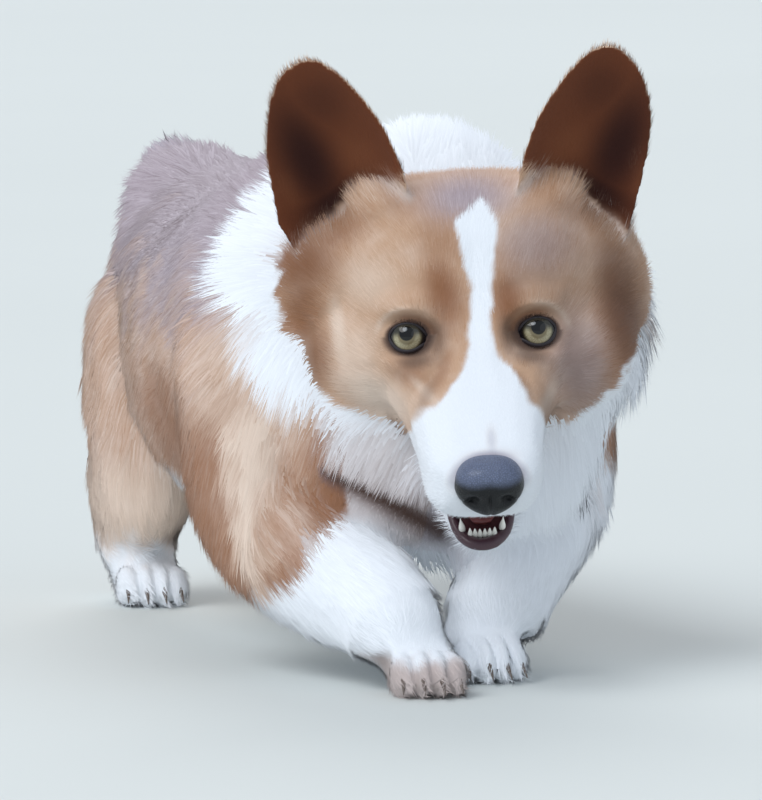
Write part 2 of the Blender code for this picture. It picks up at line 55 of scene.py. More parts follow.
print("nodes:", ", ".join(sorted(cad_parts)))

# %% [markdown]
# ## The head's own frame
# A lowered, turned head is hard to shape in the room's axes. The face is drawn instead in
# axes of its own: x to the dog's left, y towards the nape, z up, from the point midway
# between the eyes. The frame is found from the two eyeballs of the solids.

# %% Head frame
HEAD_YAW, HEAD_PITCH, HEAD_ROLL = (math.radians(a) for a in (-13.0, 32.0, 3.2))
EYE_BACK, EYE_DROP = 3.7 * MM, 1.8 * MM
EYE_RADIUS = 10.5 * MM
EYE_HALF_SPACING = 28.3 * MM
VIEW_PITCH = math.radians(38.0)      # how far above the muzzle's line the face is looked at
DESIGN_EYE_POINT = np.array((0.0120, -0.0030, 0.1580))


def middle(node):
    low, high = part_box(node)
    return (np.array(low) + np.array(high)) / 2


turn = (Matrix.Rotation(HEAD_YAW, 3, "Z") @ Matrix.Rotation(HEAD_PITCH, 3, "X")
        @ Matrix.Rotation(-HEAD_ROLL, 3, "Y"))
HEAD_TURN = np.array(turn)
HEAD_AT = (middle("eye_left") + middle("eye_right")) / 2 - HEAD_TURN @ (0, EYE_BACK, -EYE_DROP)
SHIFT = HEAD_AT - DESIGN_EYE_POINT
SHIFT[2] = 0.0


def to_head(points):
    return (np.asarray(points) - HEAD_AT) @ HEAD_TURN


def from_head(points):
    return np.asarray(points) @ HEAD_TURN.T + HEAD_AT


def face_plane(local):
    """The face's flat view: u across, v up, for points in the head's frame."""
    u = local[:, 0]
    v = local[:, 2] * math.cos(VIEW_PITCH) + local[:, 1] * math.sin(VIEW_PITCH)
    return u, v


print("head at", HEAD_AT.round(4), "shift", SHIFT.round(4))

# %% [markdown]
# ## Camera, floor and light
# A long lens low over the grass, about 4 m away and a little above the dog, gives the
# flattened view of the photograph. The light is one wide soft source above the dog's right
# shoulder, a weaker one from its left, and one behind that rims the ears and the nape.

# %% Camera
CAMERA_AZIMUTH, CAMERA_DOWN = math.radians(-15.0), math.radians(5.3)
CAMERA_DISTANCE, CAMERA_HEIGHT, CAMERA_LENS_MM = 4.0, 0.5, 405.0
camera = bpy.data.objects.new("camera", bpy.data.cameras.new("camera"))
bpy.context.scene.collection.objects.link(camera)
aim = SHIFT + (-0.0275, 0.0074, 0)
camera.location = aim + CAMERA_DISTANCE * np.array((math.sin(CAMERA_AZIMUTH), -math.cos(CAMERA_AZIMUTH), 0))
camera.location.z = CAMERA_HEIGHT
camera.rotation_euler = (math.radians(90) - CAMERA_DOWN, 0, CAMERA_AZIMUTH)
camera.data.lens = CAMERA_LENS_MM
camera.data.clip_end = 30
bpy.context.scene.camera = camera


# %% Colours and materials
def linear(hex_colour):
    """An sRGB hex colour as the linear numbers a shader takes."""
    parts = [int(hex_colour[i:i + 2], 16) / 255 for i in (1, 3, 5)]
    return [c / 12.92 if c <= 0.04045 else ((c + 0.055) / 1.055) ** 2.4 for c in parts] + [1.0]


def new_material(name, **settings):
    """A material with its Principled shader's own sockets set."""
    material = bpy.data.materials.new(name)
    material.use_nodes = True
    surface = material.node_tree.nodes["Principled BSDF"]
    for socket, value in settings.items():
        surface.inputs[socket.replace("_", " ")].default_value = value
    return material, material.node_tree, surface


def add(tree, kind, links=(), **settings):
    """A shader node: settings are its properties, links are (input, output socket or value)."""
    node = tree.nodes.new("ShaderNode" + kind)
    for name, value in settings.items():
        setattr(node, name, value)
    for key, source in dict(links).items():
        if isinstance(source, bpy.types.NodeSocket):
            tree.links.new(source, node.inputs[key])
        else:
            node.inputs[key].default_value = source
    return node


def mixed(tree, factor, first, second, blend="MIX"):
    """The colour mix of two colours or sockets."""
    node = add(tree, "Mix", data_type="RGBA", blend_type=blend)
    for key, source in ((0, factor), (6, first), (7, second)):
        if isinstance(source, bpy.types.NodeSocket):
            tree.links.new(source, node.inputs[key])
        else:
            node.inputs[key].default_value = source
    return node.outputs[2]


def place(name, mesh, material=None):
    piece = bpy.data.objects.new(name, mesh)
    bpy.context.scene.collection.objects.link(piece)
    if material:
        mesh.materials.append(material)
    return piece


def mesh_of(name, points, faces, smooth=True):
    mesh = bpy.data.meshes.new(name)
    mesh.from_pydata(np.asarray(points).tolist(), [], [list(map(int, f)) for f in faces])
    mesh.validate()
    if smooth:
        mesh.shade_smooth()
    return mesh


# %% Floor and light
FLOOR_SIZE = 60.0
floor_mat, tree, surface = new_material("studio_floor", Roughness=0.75)
grain = add(tree, "TexNoise", {"Scale": 60.0, "Detail": 3.0})
tone = mixed(tree, grain.outputs["Fac"], linear("#C9CDCB"), linear("#CED2D0"))
tree.links.new(tone, surface.inputs["Base Color"])
half = FLOOR_SIZE / 2
floor = place("studio_floor", mesh_of("studio_floor", [(-half, -half, 0), (half, -half, 0), (half, half, 0), (-half, half, 0)],
                                      [(0, 1, 2, 3)]), floor_mat)


def soft_sun(name, azimuth, elevation, strength, width, colour):
    """A very wide sun, like a studio softbox that lights the whole floor alike. Angles in degrees."""
    lamp = bpy.data.objects.new(name, bpy.data.lights.new(name, "SUN"))
    lamp.data.energy, lamp.data.angle, lamp.data.color = strength, math.radians(width), colour
    a, e = math.radians(azimuth), math.radians(elevation)
    source = Vector((math.sin(a) * math.cos(e), -math.cos(a) * math.cos(e), math.sin(e)))
    lamp.rotation_euler = source.to_track_quat("Z", "Y").to_euler()
    bpy.context.scene.collection.objects.link(lamp)


soft_sun("key", -68, 48, 1.18, 40, (1.0, 0.985, 0.965))
soft_sun("catch", -48, 50, 0.92, 28, (0.84, 0.92, 1.0))
soft_sun("fill", 38, 14, 0.30, 60, (0.88, 0.94, 1.0))
soft_sun("rim", 165, 42, 0.75, 35, (1.0, 0.99, 0.97))
bpy.context.scene.view_settings.view_transform = "Standard"
world = bpy.data.worlds.new("studio")
bpy.context.scene.world = world
world.use_nodes = True
sky = world.node_tree.nodes["Background"]
sky.inputs["Color"].default_value = (0.82, 0.90, 1.0, 1)
sky.inputs["Strength"].default_value = 0.59

# %% [markdown]
# ## One skin
# The solids reach to the tips of the coat and are parted by thin cuts. The skin is one closed
# surface: the flesh solids are swollen over their cuts, fused by a voxel remesh, and drawn
# inwards by the coat's depth, which is largest on the ruff and least on the face and feet.

# %% Fuse the flesh
SWELL = 0.5 * MM
EAR_SWELL = 1.1 * MM
VOXEL = 1.8 * MM
SEAT_SHRINK = 1.5 * MM
GUM_LINE = ((-0.076, -0.0612), (-0.062, -0.0602), (-0.054, -0.0560), (-0.045, -0.0510))     # y and z, head's frame


def grown_points(mesh, by):
    points = np.empty(len(mesh.vertices) * 3, np.float32)
    normals = np.empty(len(mesh.vertices) * 3, np.float32)
    mesh.vertices.foreach_get("co", points)
    mesh.vertex_normals.foreach_get("vector", normals)
    return points.reshape(-1, 3) + normals.reshape(-1, 3) * by


flesh_names = [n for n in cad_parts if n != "tongue"]
shape = bmesh.new()
for name in flesh_names:
    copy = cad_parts[name].data.copy()
    by = -SEAT_SHRINK if name == "nose" or name.startswith("eye_") else EAR_SWELL if name.startswith("ear_") else SWELL
    points = grown_points(copy, by)
    if name == "lower_jaw":
        local = to_head(points)
        gum = np.interp(local[:, 1], *np.array(GUM_LINE).T)
        front = local[:, 1] < -0.045
        local[front, 2] = np.minimum(local[front, 2], gum[front])
        points = from_head(local)
    copy.vertices.foreach_set("co", points.astype(np.float32).ravel())
    shape.from_mesh(copy)
    bpy.data.meshes.remove(copy)
fused = bpy.data.meshes.new("skin")
shape.to_mesh(fused)
shape.free()
skin = place("skin", fused)
remesh = skin.modifiers.new("Fuse", "REMESH")
remesh.mode = "VOXEL"
remesh.voxel_size = VOXEL
relax = skin.modifiers.new("Relax", "SMOOTH")
relax.iterations = 4
graph = bpy.context.evaluated_depsgraph_get()
taken = bpy.data.meshes.new_from_object(skin.evaluated_get(graph))
skin.modifiers.clear()
skin.data = taken
print("fused skin:", len(taken.vertices), "points")

# %% [markdown]
# Every point of the skin learns which part of the body it belongs to from the nearest solid.
# Those memberships are then averaged over the surface, so lengths, depths and colours change
# gradually from part to part.

# %% Parts of the body as soft weights
PARTS = ("head", "muzzle", "jaw", "ear", "neck", "chest", "loin", "rump", "tail",
         "fore_upper", "fore_lower", "fore_paw", "hind_upper", "hind_lower", "hind_paw")


def part_of(node):
    stem = node.replace("_left", "").replace("_right", "")
    return {"lower_jaw": "jaw", "eye": "head", "nose": "muzzle"}.get(stem, stem)


def arrays_of(mesh):
    points = np.empty(len(mesh.vertices) * 3, np.float32)
    normals = np.empty(len(mesh.vertices) * 3, np.float32)
    mesh.vertices.foreach_get("co", points)
    mesh.vertex_normals.foreach_get("vector", normals)
    return points.reshape(-1, 3).astype(float), normals.reshape(-1, 3).astype(float)


def edges_of(mesh):
    ends = np.empty(len(mesh.edges) * 2, np.int32)
    mesh.edges.foreach_get("vertices", ends)
    return ends.reshape(-1, 2)


def averaged(values, ends, rounds):
    """Values spread over the surface, each round the mean of a point and its neighbours."""
    values = np.array(values, float)
    count = len(values)
    degree = np.bincount(ends.ravel(), minlength=count) + 1.0
    shape_ = values.shape
    values = values.reshape(count, -1)
    for _ in range(rounds):
        total = values.copy()
        for column in range(values.shape[1]):
            total[:, column] += np.bincount(ends[:, 0], values[ends[:, 1], column], count)
            total[:, column] += np.bincount(ends[:, 1], values[ends[:, 0], column], count)
        values = total / degree[:, None]
    return values.reshape(shape_)


def nearest_parts(points):
    """For each point the number of its part, by the closest face of the solids."""
    corners, faces, owner = [], [], []
    start = 0
    for name in flesh_names:
        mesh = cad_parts[name].data
        here, _ = arrays_of(mesh)
        mesh.calc_loop_triangles()
        corners.append(here)
        for triangle in mesh.loop_triangles:
            faces.append([start + v for v in triangle.vertices])
            owner.append(PARTS.index(part_of(name)))
        start += len(here)
    tree_ = BVHTree.FromPolygons(np.concatenate(corners).tolist(), faces)
    return np.array([owner[tree_.find_nearest(p)[2]] for p in points.tolist()])


points, normals = arrays_of(skin.data)
ends = edges_of(skin.data)
label = nearest_parts(points)
weights = averaged(np.eye(len(PARTS))[label], ends, 6)
print("points of each part:", {p: int((label == i).sum()) for i, p in enumerate(PARTS)})

# %% Fair the ears, and draw the skin in by the coat's depth
def faired(points, ends, share, rounds):
    """Points smoothed by turns in and out, so saw-toothed edges go and the form keeps its size."""
    for _ in range(rounds):
        for step in (0.62, -0.64):
            points = points + (averaged(points, ends, 1) - points) * (step * share)[:, None]
    return points


points = faired(points, ends, np.clip(weights[:, PARTS.index("ear")] * 1.5, 0, 1), 16)
skin.data.vertices.foreach_set("co", points.astype(np.float32).ravel())
skin.data.update()
points, normals = arrays_of(skin.data)
COAT_DEPTH_MM = dict(head=1.5, muzzle=0.7, jaw=0.7, ear=1.2, neck=6.0, chest=4.5, loin=4.2, rump=4.2, tail=4.0,
                     fore_upper=4.2, fore_lower=3.6, fore_paw=2.0, hind_upper=4.2, hind_lower=3.2, hind_paw=2.0)
depth_soft = averaged(weights @ np.array([COAT_DEPTH_MM[p] for p in PARTS]), ends, 12)
normals_soft = averaged(normals, ends, 4)
normals_soft /= np.linalg.norm(normals_soft, axis=1, keepdims=True)
points = points - normals_soft * depth_soft[:, None] * MM
relaxed = averaged(points, ends, 3)
body_share = 1 - weights[:, [PARTS.index(p) for p in ("head", "muzzle", "jaw", "ear")]].sum(axis=1)
points += (relaxed - points) * np.clip(body_share, 0, 1)[:, None]
points[:, 2] = np.maximum(points[:, 2], 0.6 * MM)
skin.data.vertices.foreach_set("co", points.astype(np.float32).ravel())
skin.data.update()
print("coat depth from", depth_soft.min().round(2), "to", depth_soft.max().round(2), "mm")

# %% [markdown]
# ## Eyes in their sockets
# Each eye looks out along its own axis, a little outwards of the face's. The skin over the
# ball is pushed back behind it, and around the opening it hugs the ball and then rises into
# the lids and brow, with a crease between.

# %% Eye frames and finer skin around them
EYE_OUT = math.radians(6.0)
HIND_STANCE, HIND_LEFT_AHEAD = 0.052, 0.030
OPENING_HALF_WIDTH = 8.3 * MM
OPENING_ABOVE, OPENING_BELOW = 5.7 * MM, 6.9 * MM


def eye_axes(side):
    """Ball centre, gaze, outward and up axes of one eye, in the room."""
    gaze = Vector((side * math.sin(EYE_OUT), -math.cos(VIEW_PITCH), math.sin(VIEW_PITCH))).normalized()
    out = Vector((side, 0, 0)) - gaze * gaze.dot(Vector((side, 0, 0)))
    out.normalize()
    up = gaze.cross(out) * side
    centre = middle("eye_left" if side > 0 else "eye_right")
    return centre, HEAD_TURN @ np.array(gaze), HEAD_TURN @ np.array(out), HEAD_TURN @ np.array(up)


def subdivided_near(piece, spots):
    """The piece with its faces near each (point, radius) split in four."""
    shape = bmesh.new()
    shape.from_mesh(piece.data)
    chosen = []
    for edge in shape.edges:
        mid = (edge.verts[0].co + edge.verts[1].co) / 2
        if any((mid - spot).length < radius for spot, radius in spots):
            chosen.append(edge)
    bmesh.ops.subdivide_edges(shape, edges=chosen, cuts=1, use_grid_fill=True)
    bmesh.ops.triangulate(shape, faces=[f for f in shape.faces if len(f.verts) > 4])
    shape.to_mesh(piece.data)
    shape.free()


eyes = {side: eye_axes(side) for side in (-1, 1)}
spots = [(Vector(eyes[s][0]), 21 * MM) for s in (-1, 1)]
spots.append((Vector(from_head([(0, -0.072, -0.028)])[0]), 24 * MM))
spots.append((Vector(from_head([(0, -0.066, -0.058)])[0]), 14 * MM))

# each paw: its middle on the floor, in the design's frame, and how far its toes turn out, in degrees
PAWS = {"fore_right": (-0.0155, -0.0210, -6), "fore_left": (0.0225, 0.0240, 4),
        "hind_right": (-HIND_STANCE, 0.3520, -5), "hind_left": (HIND_STANCE, 0.3520 - HIND_LEFT_AHEAD, 5)}
TOE_SPACING = 8.0 * MM


def on_paw(points, paw):
    """Points in a paw's own frame: to the dog's left, backwards and up."""
    x, y, turned = PAWS[paw]
    rel = points - SHIFT - (x, y, 0)
    return rel @ np.array(Matrix.Rotation(math.radians(turned), 3, "Z"))


for paw, (x, y, turned) in PAWS.items():
    spots.append((Vector(SHIFT + (x, y - 0.018, 0.010)), 22 * MM))
subdivided_near(skin, spots)


def opening_ring(points, side):
    """How far out points lie from an eye, 1 on the lids' margin, and their height along the gaze."""
    centre, gaze, out, up = eyes[side]
    rel = points - centre
    a, b = rel @ out, rel @ up
    half = np.where(b > 0, OPENING_ABOVE, OPENING_BELOW)
    return np.hypot(a / OPENING_HALF_WIDTH, b / half), a, b, rel @ gaze


print("skin after the finer face:", len(skin.data.vertices), "points")

# %% Sculpt lids, brows, folds and lips
SINK = 3.0 * MM
LID_REACH = 8.0 * MM       # how far from its middle the skin still follows the eyeball


def bell(distance, width):
    return np.exp(-(distance / width) ** 2)


def smooth_step(edge0, edge1, x):
    t = np.clip((x - edge0) / (edge1 - edge0), 0, 1)
    return t * t * (3 - 2 * t)


def under_ruff(design):
    """How deep a point lies in the shaded gap between the ruff's fringe and the right arm, and
    how many millimetres above the gap's upper edge it is."""
    x, y, z = design.T / MM
    line = 93 - 0.53 * (x + 43)
    half = np.interp(x, (-46, -13, 4, 14), (4.0, 8.0, 9.5, 9.5))
    here = smooth_step(-50, -43, x) * smooth_step(18, 8, x) * smooth_step(2, 12, y) * smooth_step(48, 38, y)
    return bell((z - line) / half, 1) * here, (z - line - 0.8 * half), here


points, normals = arrays_of(skin.data)
ends = edges_of(skin.data)
local = to_head(points)
local_normals = normals @ HEAD_TURN
rise = -5.0 * under_ruff(points - SHIFT)[0]
u, v = face_plane(local)
facing = np.clip(local_normals @ (0, -math.cos(VIEW_PITCH), math.sin(VIEW_PITCH)), 0, 1)
for side in (-1, 1):
    across = side * u / MM
    up_mm = v / MM
    # brow ridge, the hollow before the eye, and the soft fold from its inner corner
    rise += 1.3 * bell(np.hypot((across - 25) / 12, (up_mm - 13.5) / 3.6), 1) * facing
    rise -= 0.3 * bell(np.hypot((across - 27) / 13, (up_mm - 10.3) / 1.8), 1) * facing
    rise -= 1.3 * bell(np.hypot((across - 14) / 6, (up_mm + 9) / 8), 1) * facing
    fold = up_mm + 14 + 0.9 * (across - 16)
    rise -= 0.9 * bell(fold, 1.5) * bell(across - 21, 9) * facing
    rise += 0.8 * bell(fold - 3.2, 2.0) * bell(across - 22, 9) * facing
    rise += 1.0 * bell(np.hypot((across - 34) / 13, (up_mm + 14) / 6), 1) * facing
rise -= 1.2 * bell(u / MM - 1, 4.0) * bell(v / MM - 22, 22) * facing
for paw in PAWS:
    across, back, high = on_paw(points, paw).T / MM
    here = smooth_step(-6, -13, back) * smooth_step(-34, -31, back) * smooth_step(26, 20, np.abs(across)) * smooth_step(24, 16, high)
    for gap in (-8.0, 0.0, 8.0):
        rise -= 2.2 * bell(across - gap, 1.7) * here
    for toe in (-12.0, -4.0, 4.0, 12.0):
        rise += 0.7 * bell(across - toe, 3.0) * here
points += normals * rise[:, None] * MM
local = to_head(points)
lip_front = bell((local[:, 0] - 0.002) / 0.019, 1) * smooth_step(-0.052, -0.068, local[:, 1]) * smooth_step(-0.022, -0.034, local[:, 2])
lip_front *= smooth_step(-0.0465, -0.0440, local[:, 2])
points -= HEAD_TURN[:, 2] * (5.2 * MM * lip_front)[:, None]

for side in (-1, 1):
    gaze = eyes[side][1]
    ring, a, b, h = opening_ring(points, side)
    near = (h > -2 * MM) & (np.hypot(a, b) < 20 * MM)
    reach = np.hypot(a, b)
    ball = np.sqrt(EYE_RADIUS ** 2 - np.minimum(reach, LID_REACH) ** 2)
    hug = ball + 0.9 * MM - 0.42 * np.maximum(reach - LID_REACH, 0)
    open_ = smooth_step(1.06, 0.94, ring)
    lid = smooth_step(2.15, 1.15, ring)
    target = h * (1 - lid) + hug * lid
    target = target * (1 - open_) + (ball - SINK) * open_
    move = np.where(near, target - h, 0)
    points += gaze * move[:, None]

# the skin behind the nose pad sinks, so that only the pad shows
NOSE_AT = np.array((0.0036, -0.0815, -0.0212))
NOSE_HALF = np.array((15.4, 11.5, 12.5)) * MM


def nose_reach(local):
    """How far out points lie from the middle of the nose pad, 1 on its surface."""
    return np.linalg.norm((local - NOSE_AT) / NOSE_HALF, axis=1)


points += HEAD_TURN @ (0, 1, 0) * (6.0 * MM * smooth_step(1.0, 0.80, nose_reach(to_head(points))))[:, None]
skin.data.vertices.foreach_set("co", points.astype(np.float32).ravel())
skin.data.update()
skin.data.shade_smooth()

# %% Unwrap the skin
bpy.context.view_layer.objects.active = skin
skin.select_set(True)
bpy.ops.object.mode_set(mode="EDIT")
bpy.ops.mesh.select_all(action="SELECT")
bpy.ops.uv.smart_project(angle_limit=math.radians(70), island_margin=0.002)
bpy.ops.object.mode_set(mode="OBJECT")
skin.data.uv_layers[0].name = "OFBake"
print("skin unwrapped")


# %% [markdown]
# ## Markings
# A white blaze, muzzle, ruff, breast, forearms and feet; a fawn body whose back is greyer;
# orange-brown brows and cheeks with pale patches behind the eyes; dusky brown in the eyes'
# inner corners. Each marking is a share from 0 to 1 worked out from where a point lies on the
# body, so the skin and every tuft on it take exactly the same colours.
# Some shares are painted shade and light: the gap below the ruff, the white throat under the head and the face's side
# away from the key light are painted darker, and inside each ear the hollows are painted dark and the lit patches pale.

# %% Places on the ears
EAR_SEAT = np.array((50.0, 42.0, 33.0)) * MM
EAR_RAKE, EAR_TILT_OUT, EAR_TURN_OUT = 17.0, 13.0, 9.0


def ear_turn(side):
    """The turn of one ear in the head's frame: raked back, leaning and turned outwards."""
    angles = ((-EAR_RAKE, "X"), (side * EAR_TILT_OUT, "Y"), (side * EAR_TURN_OUT, "Z"))
    made = Matrix.Identity(3)
    for angle, axis in angles:
        made = made @ Matrix.Rotation(math.radians(angle), 3, axis)
    return np.array(made)


def on_ear(local, directions=None):
    """Points in the frame of the ear on their side, in mm: outwards, forwards to back, up."""
    found = np.empty_like(local)
    for side in (-1, 1):
        here = (local[:, 0] > 0) == (side > 0)
        seat = EAR_SEAT * (side, 1, 1)
        rel = (local[here] - seat) / MM if directions is None else directions[here]
        found[here] = rel @ ear_turn(side) * (side, 1, 1)
    return found


# the tan of the head reaches up into the ear to here: mm outwards and mm up
EAR_BORDER = ((-32, 20), (-21, 16), (-10, 12.5), (-2, 7), (8, 3.5), (15, -2), (23, -6))


# %% Markings as functions of place
def waver(points, scale, seed):
    """Smooth noise from -1 to 1 or so, whose bumps are about this many millimetres across."""
    maker = np.random.default_rng(seed)
    total = np.zeros(len(points))
    for _ in range(6):
        wave = maker.normal(size=3)
        wave *= maker.uniform(0.6, 1.5) / np.linalg.norm(wave) * 2 * math.pi / (scale * 2.2 * MM)
        total += np.sin(points @ wave + maker.uniform(0, 6.3))
    return total / 2.4


# the blaze and the white of the muzzle: height on the face, left edge and right edge, in mm
BLAZE = ((-50, -60, 60), (-42, -30, 30), (-34, -19.5, 24.8), (-28, -14.5, 22.7), (-22.5, -10.4, 20), (-16.5, -6.5, 17.1),
         (-10, -3.0, 11.2), (3, -1.4, 7.9), (20, -0.2, 9.4), (31, -2.0, 10.2), (43, -3.8, 12.4), (51, -6.0, 13.4), (56, 0.0, 11.0),
         (60, 5.0, 8.5), (62, 7, 6))
# the edge of the brown face against the white ruff: height, the dog's right edge and its left
FACE_EDGE = ((-52, -24, 26), (-45, -33, 36), (-38, -43, 46), (-31, -59, 56), (-25, -69, 64), (-13, -79, 73),
             (-6, -82, 79), (2.5, -84, 85), (24, -88, 92), (45, -88, 96), (80, -92, 99))
# the rear edge of the white collar on the body: height and reach along the body
COLLAR_EDGE = ((0.060, 0.018), (0.076, 0.021), (0.090, 0.025), (0.098, 0.029), (0.106, 0.033), (0.113, 0.040), (0.118, 0.047),
               (0.132, 0.054), (0.147, 0.057), (0.159, 0.064), (0.168, 0.076), (0.184, 0.098), (0.198, 0.103), (0.250, 0.106))


def spot(u, v, at, size, tilt=0.0):
    """A soft oval on the face, from 1 at its middle to 0: middle and half sizes in mm."""
    c, s = math.cos(math.radians(tilt)), math.sin(math.radians(tilt))
    du, dv = u - at[0], v - at[1]
    return np.exp(-(((du * c + dv * s) / size[0]) ** 2 + ((dv * c - du * s) / size[1]) ** 2) ** 1.3)


def columns(rows, x):
    """The other columns of the rows at x, by straight lines between rows."""
    table = np.array(rows)
    return [np.interp(x, table[:, 0], table[:, k]) for k in range(1, table.shape[1])]


def markings(points, normals, weights):
    """Shares of white, saddle, rust, cream, dusk and ear brown at each point, some of them painted shade and light."""
    share = {p: weights[:, i] for i, p in enumerate(PARTS)}
    local = to_head(points)
    u, v = (c / MM for c in face_plane(local))
    y, z = local[:, 1] / MM, local[:, 2] / MM
    design = points - SHIFT
    ragged = waver(points, 9, 11) * 1.0 + waver(points, 4, 12) * 0.7

    left, right = columns(BLAZE, v)
    blaze = smooth_step(-1.4, 1.4, u - left + 0.5 * ragged) * smooth_step(-1.4, 1.4, right - u + 0.5 * ragged)
    blaze *= smooth_step(60, 50, y)
    muzzle_white = smooth_step(-40, -47, y + ragged)
    left, right = columns(FACE_EDGE, v)
    ruff_white = np.maximum(smooth_step(-2.5, 3.5, left - u + 3 * ragged), smooth_step(-2.5, 3.5, u - right + 3 * ragged))
    ruff_white = np.maximum(ruff_white, smooth_step(76, 88, y + 3 * ragged) * smooth_step(95, 60, z))
    ruff_white = np.maximum(ruff_white, smooth_step(-48, -53, v + ragged))
    face = share["head"] + share["muzzle"] + share["jaw"]
    near_face = np.clip(face + share["neck"] * smooth_step(70, 50, y), 0, 1)

    x, y_body, z_body = design.T
    edge = columns(COLLAR_EDGE, z_body)[0] + 0.012 * (x > 0)
    wander = (2.2 * waver(points, 18, 13) + 2.0 * waver(points, 6, 14)) * MM
    collar = smooth_step(5 * MM, -5 * MM, y_body - edge + wander)
    fore = share["fore_upper"] + share["fore_lower"] + share["fore_paw"]
    cuff_top = np.where(x < 0, 0.076 + 1.08 * (x + 0.035), 0.105 - 0.3 * np.maximum(x - 0.06, 0))
    cuff = smooth_step(-5 * MM, 5 * MM, cuff_top - z_body + wander) * fore
    belly = smooth_step(0.082, 0.062, z_body + wander) * (share["chest"] + share["loin"] + share["neck"])
    hind_sock = smooth_step(0.036, 0.018, z_body + wander) * (share["hind_lower"] + share["hind_paw"])
    body_white = np.clip(collar + cuff + belly + hind_sock, 0, 1)
    toe_brown = smooth_step(0.021, 0.013, z_body + 0.5 * wander) * smooth_step(0.000, -0.014, y_body) * (x < 0.004) * share["fore_paw"]
    ear = share["ear"]
    trunk = np.clip(1 - face - ear, 0, 1)
    head_white = np.maximum(np.maximum(blaze, muzzle_white), ruff_white * (face + (1 - face) * body_white))
    white = near_face * head_white + (1 - near_face) * body_white
    white = np.clip(white * (1 - ear), 0, 1)

    back = smooth_step(0.132, 0.184, z_body + 4 * wander) * smooth_step(0.03, 0.10, y_body)
    saddle = np.maximum((0.16 + 0.74 * back) * trunk, share["tail"])
    dusk = np.zeros(len(points))
    for side in (-1, 1):
        across = side * u
        dusk = np.maximum(dusk, 0.62 * spot(across, v, (16.0, -2), (5.0, 10.0), 8))
        dusk = np.maximum(dusk, 0.66 * spot(across, v, (25.5, -10.5), (10.0, 4.5), -8))
        dusk = np.maximum(dusk, 0.45 * spot(across, v, (26.0, -3.0), (11.5, 8.5)))
        dusk = np.maximum(dusk, 0.35 * spot(across, v, (22, -26), (3.0, 10.0), 25))
    dusk = np.maximum(dusk, 0.45 * spot(u, v, (33, -38), (6, 13), 12))
    # painted shade: on the dog's left, turned from the key light, the outer cheek, the brow and the cheek below the eye
    # are darkened with dusk
    dusk = np.maximum(dusk, 0.62 * spot(u, v, (68, 18), (13, 36), 6))
    dusk = np.maximum(dusk, 0.34 * spot(u, v, (38, 28), (24, 24)))
    dusk = np.maximum(dusk, 0.36 * spot(u, v, (50, -18), (16, 22), 20))
    dusk = np.maximum(dusk, 0.22 * spot(u, v, (-76, 36), (13, 20), -8))
    dusk = np.maximum(dusk, 0.25 * spot(u, v, (-32, -14), (9, 5), -10))
    dusk = np.maximum(dusk, 0.20 * spot(u, v, (-74, -10), (9, 18), -14))
    dusk = np.maximum(dusk, 0.75 * spot(u, v, (-35.5, -41), (2.0, 8), 28))
    dusk *= near_face
    rust = 0.98 * spot(u, v, (-12, 20), (8.5, 18), 12)
    rust = np.maximum(rust, 0.98 * spot(u, v, (16, 15), (7.5, 13)))
    rust = np.maximum(rust, 0.45 * spot(u, v, (-12, 40), (12, 14), 20))
    rust = np.maximum(rust, 0.50 * spot(u, v, (-28, -17), (8, 6), 0))
    rust = np.maximum(rust, 0.50 * spot(u, v, (-14, -15), (3.0, 11), -25))
    rust = np.maximum(rust, 0.88 * spot(u, v, (-75, -8), (11, 19), -14))
    rust = np.maximum(rust, 0.90 * spot(u, v, (-77, 12), (11, 36), -10))
    rust = np.maximum(rust, 0.98 * spot(u, v, (-76, 38), (19, 20)))
    rust = np.maximum(rust, 0.40 * spot(u, v, (-30, 66), (10, 12)))
    rust = np.maximum(rust, 0.40 * spot(u, v, (36, 69), (10, 12)))
    rust = np.maximum(rust, 0.95 * spot(u, v, (68, 4), (11, 36), 8))
    rust = np.maximum(rust, 0.75 * spot(u, v, (-64, 48), (24, 10), 28))
    rust = np.maximum(rust, 0.55 * spot(u, v, (52, 56), (22, 9), -28))
    rust = rust * near_face
    shoulder = smooth_step(0.135, 0.10, z_body + 2 * wander) * fore
    flank = smooth_step(0.135, 0.095, z_body + 2 * wander) * smooth_step(0.27, 0.17, y_body) * trunk
    near_cuff = smooth_step(0.026, 0.004, z_body - cuff_top + wander) * smooth_step(0.055, 0.035, y_body) * (x < 0) * fore
    inner_arm = smooth_step(-0.066, -0.048, x) * smooth_step(0.050, 0.035, y_body) * (x < 0) * trunk * smooth_step(0.125, 0.105, z_body)
    behind_arm = smooth_step(0.050, 0.062, y_body + wander) * smooth_step(0.26, 0.19, y_body) * smooth_step(0.142, 0.108, z_body + 2 * wander) * trunk
    for brown in (0.20 * shoulder, 0.85 * near_cuff, 0.90 * inner_arm, 0.75 * behind_arm, 0.30 * flank):
        rust = np.maximum(rust, brown)
    cream = 0.72 * spot(u, v, (-59.5, 3), (4.0, 17), 4)
    cream = np.maximum(cream, 0.48 * spot(u, v, (-53, -6), (11, 18), 8))
    cream = np.maximum(cream, 0.95 * spot(u, v, (-44, -26), (20, 10), -42))
    cream = np.maximum(cream, 0.45 * spot(u, v, (-45, 26), (14, 12), 15))
    cream = np.maximum(cream, 0.10 * spot(u, v, (50, -2), (4.0, 15), -10))
    cream = np.maximum(cream, 0.50 * spot(u, v, (31, -32), (2.6, 12), -28))
    cream = np.maximum(cream, 0.50 * spot(u, v, (-23, -24), (2.2, 9), 42))
    for side in (-1, 1):
        above = np.hypot((side * u - 28.5) / 12.0, (v - 0.5) / 10.6)
        cream = np.maximum(cream, 0.42 * bell(above - 1.22, 0.14) * smooth_step(-2, 6, v) * smooth_step(25, 33, side * u))
    cream *= near_face
    thigh = smooth_step(0.22, 0.30, y_body) * smooth_step(0.18, 0.12, z_body) * trunk
    cream = np.maximum(cream, (0.05 + 0.60 * smooth_step(0.085, 0.055, z_body)) * thigh)
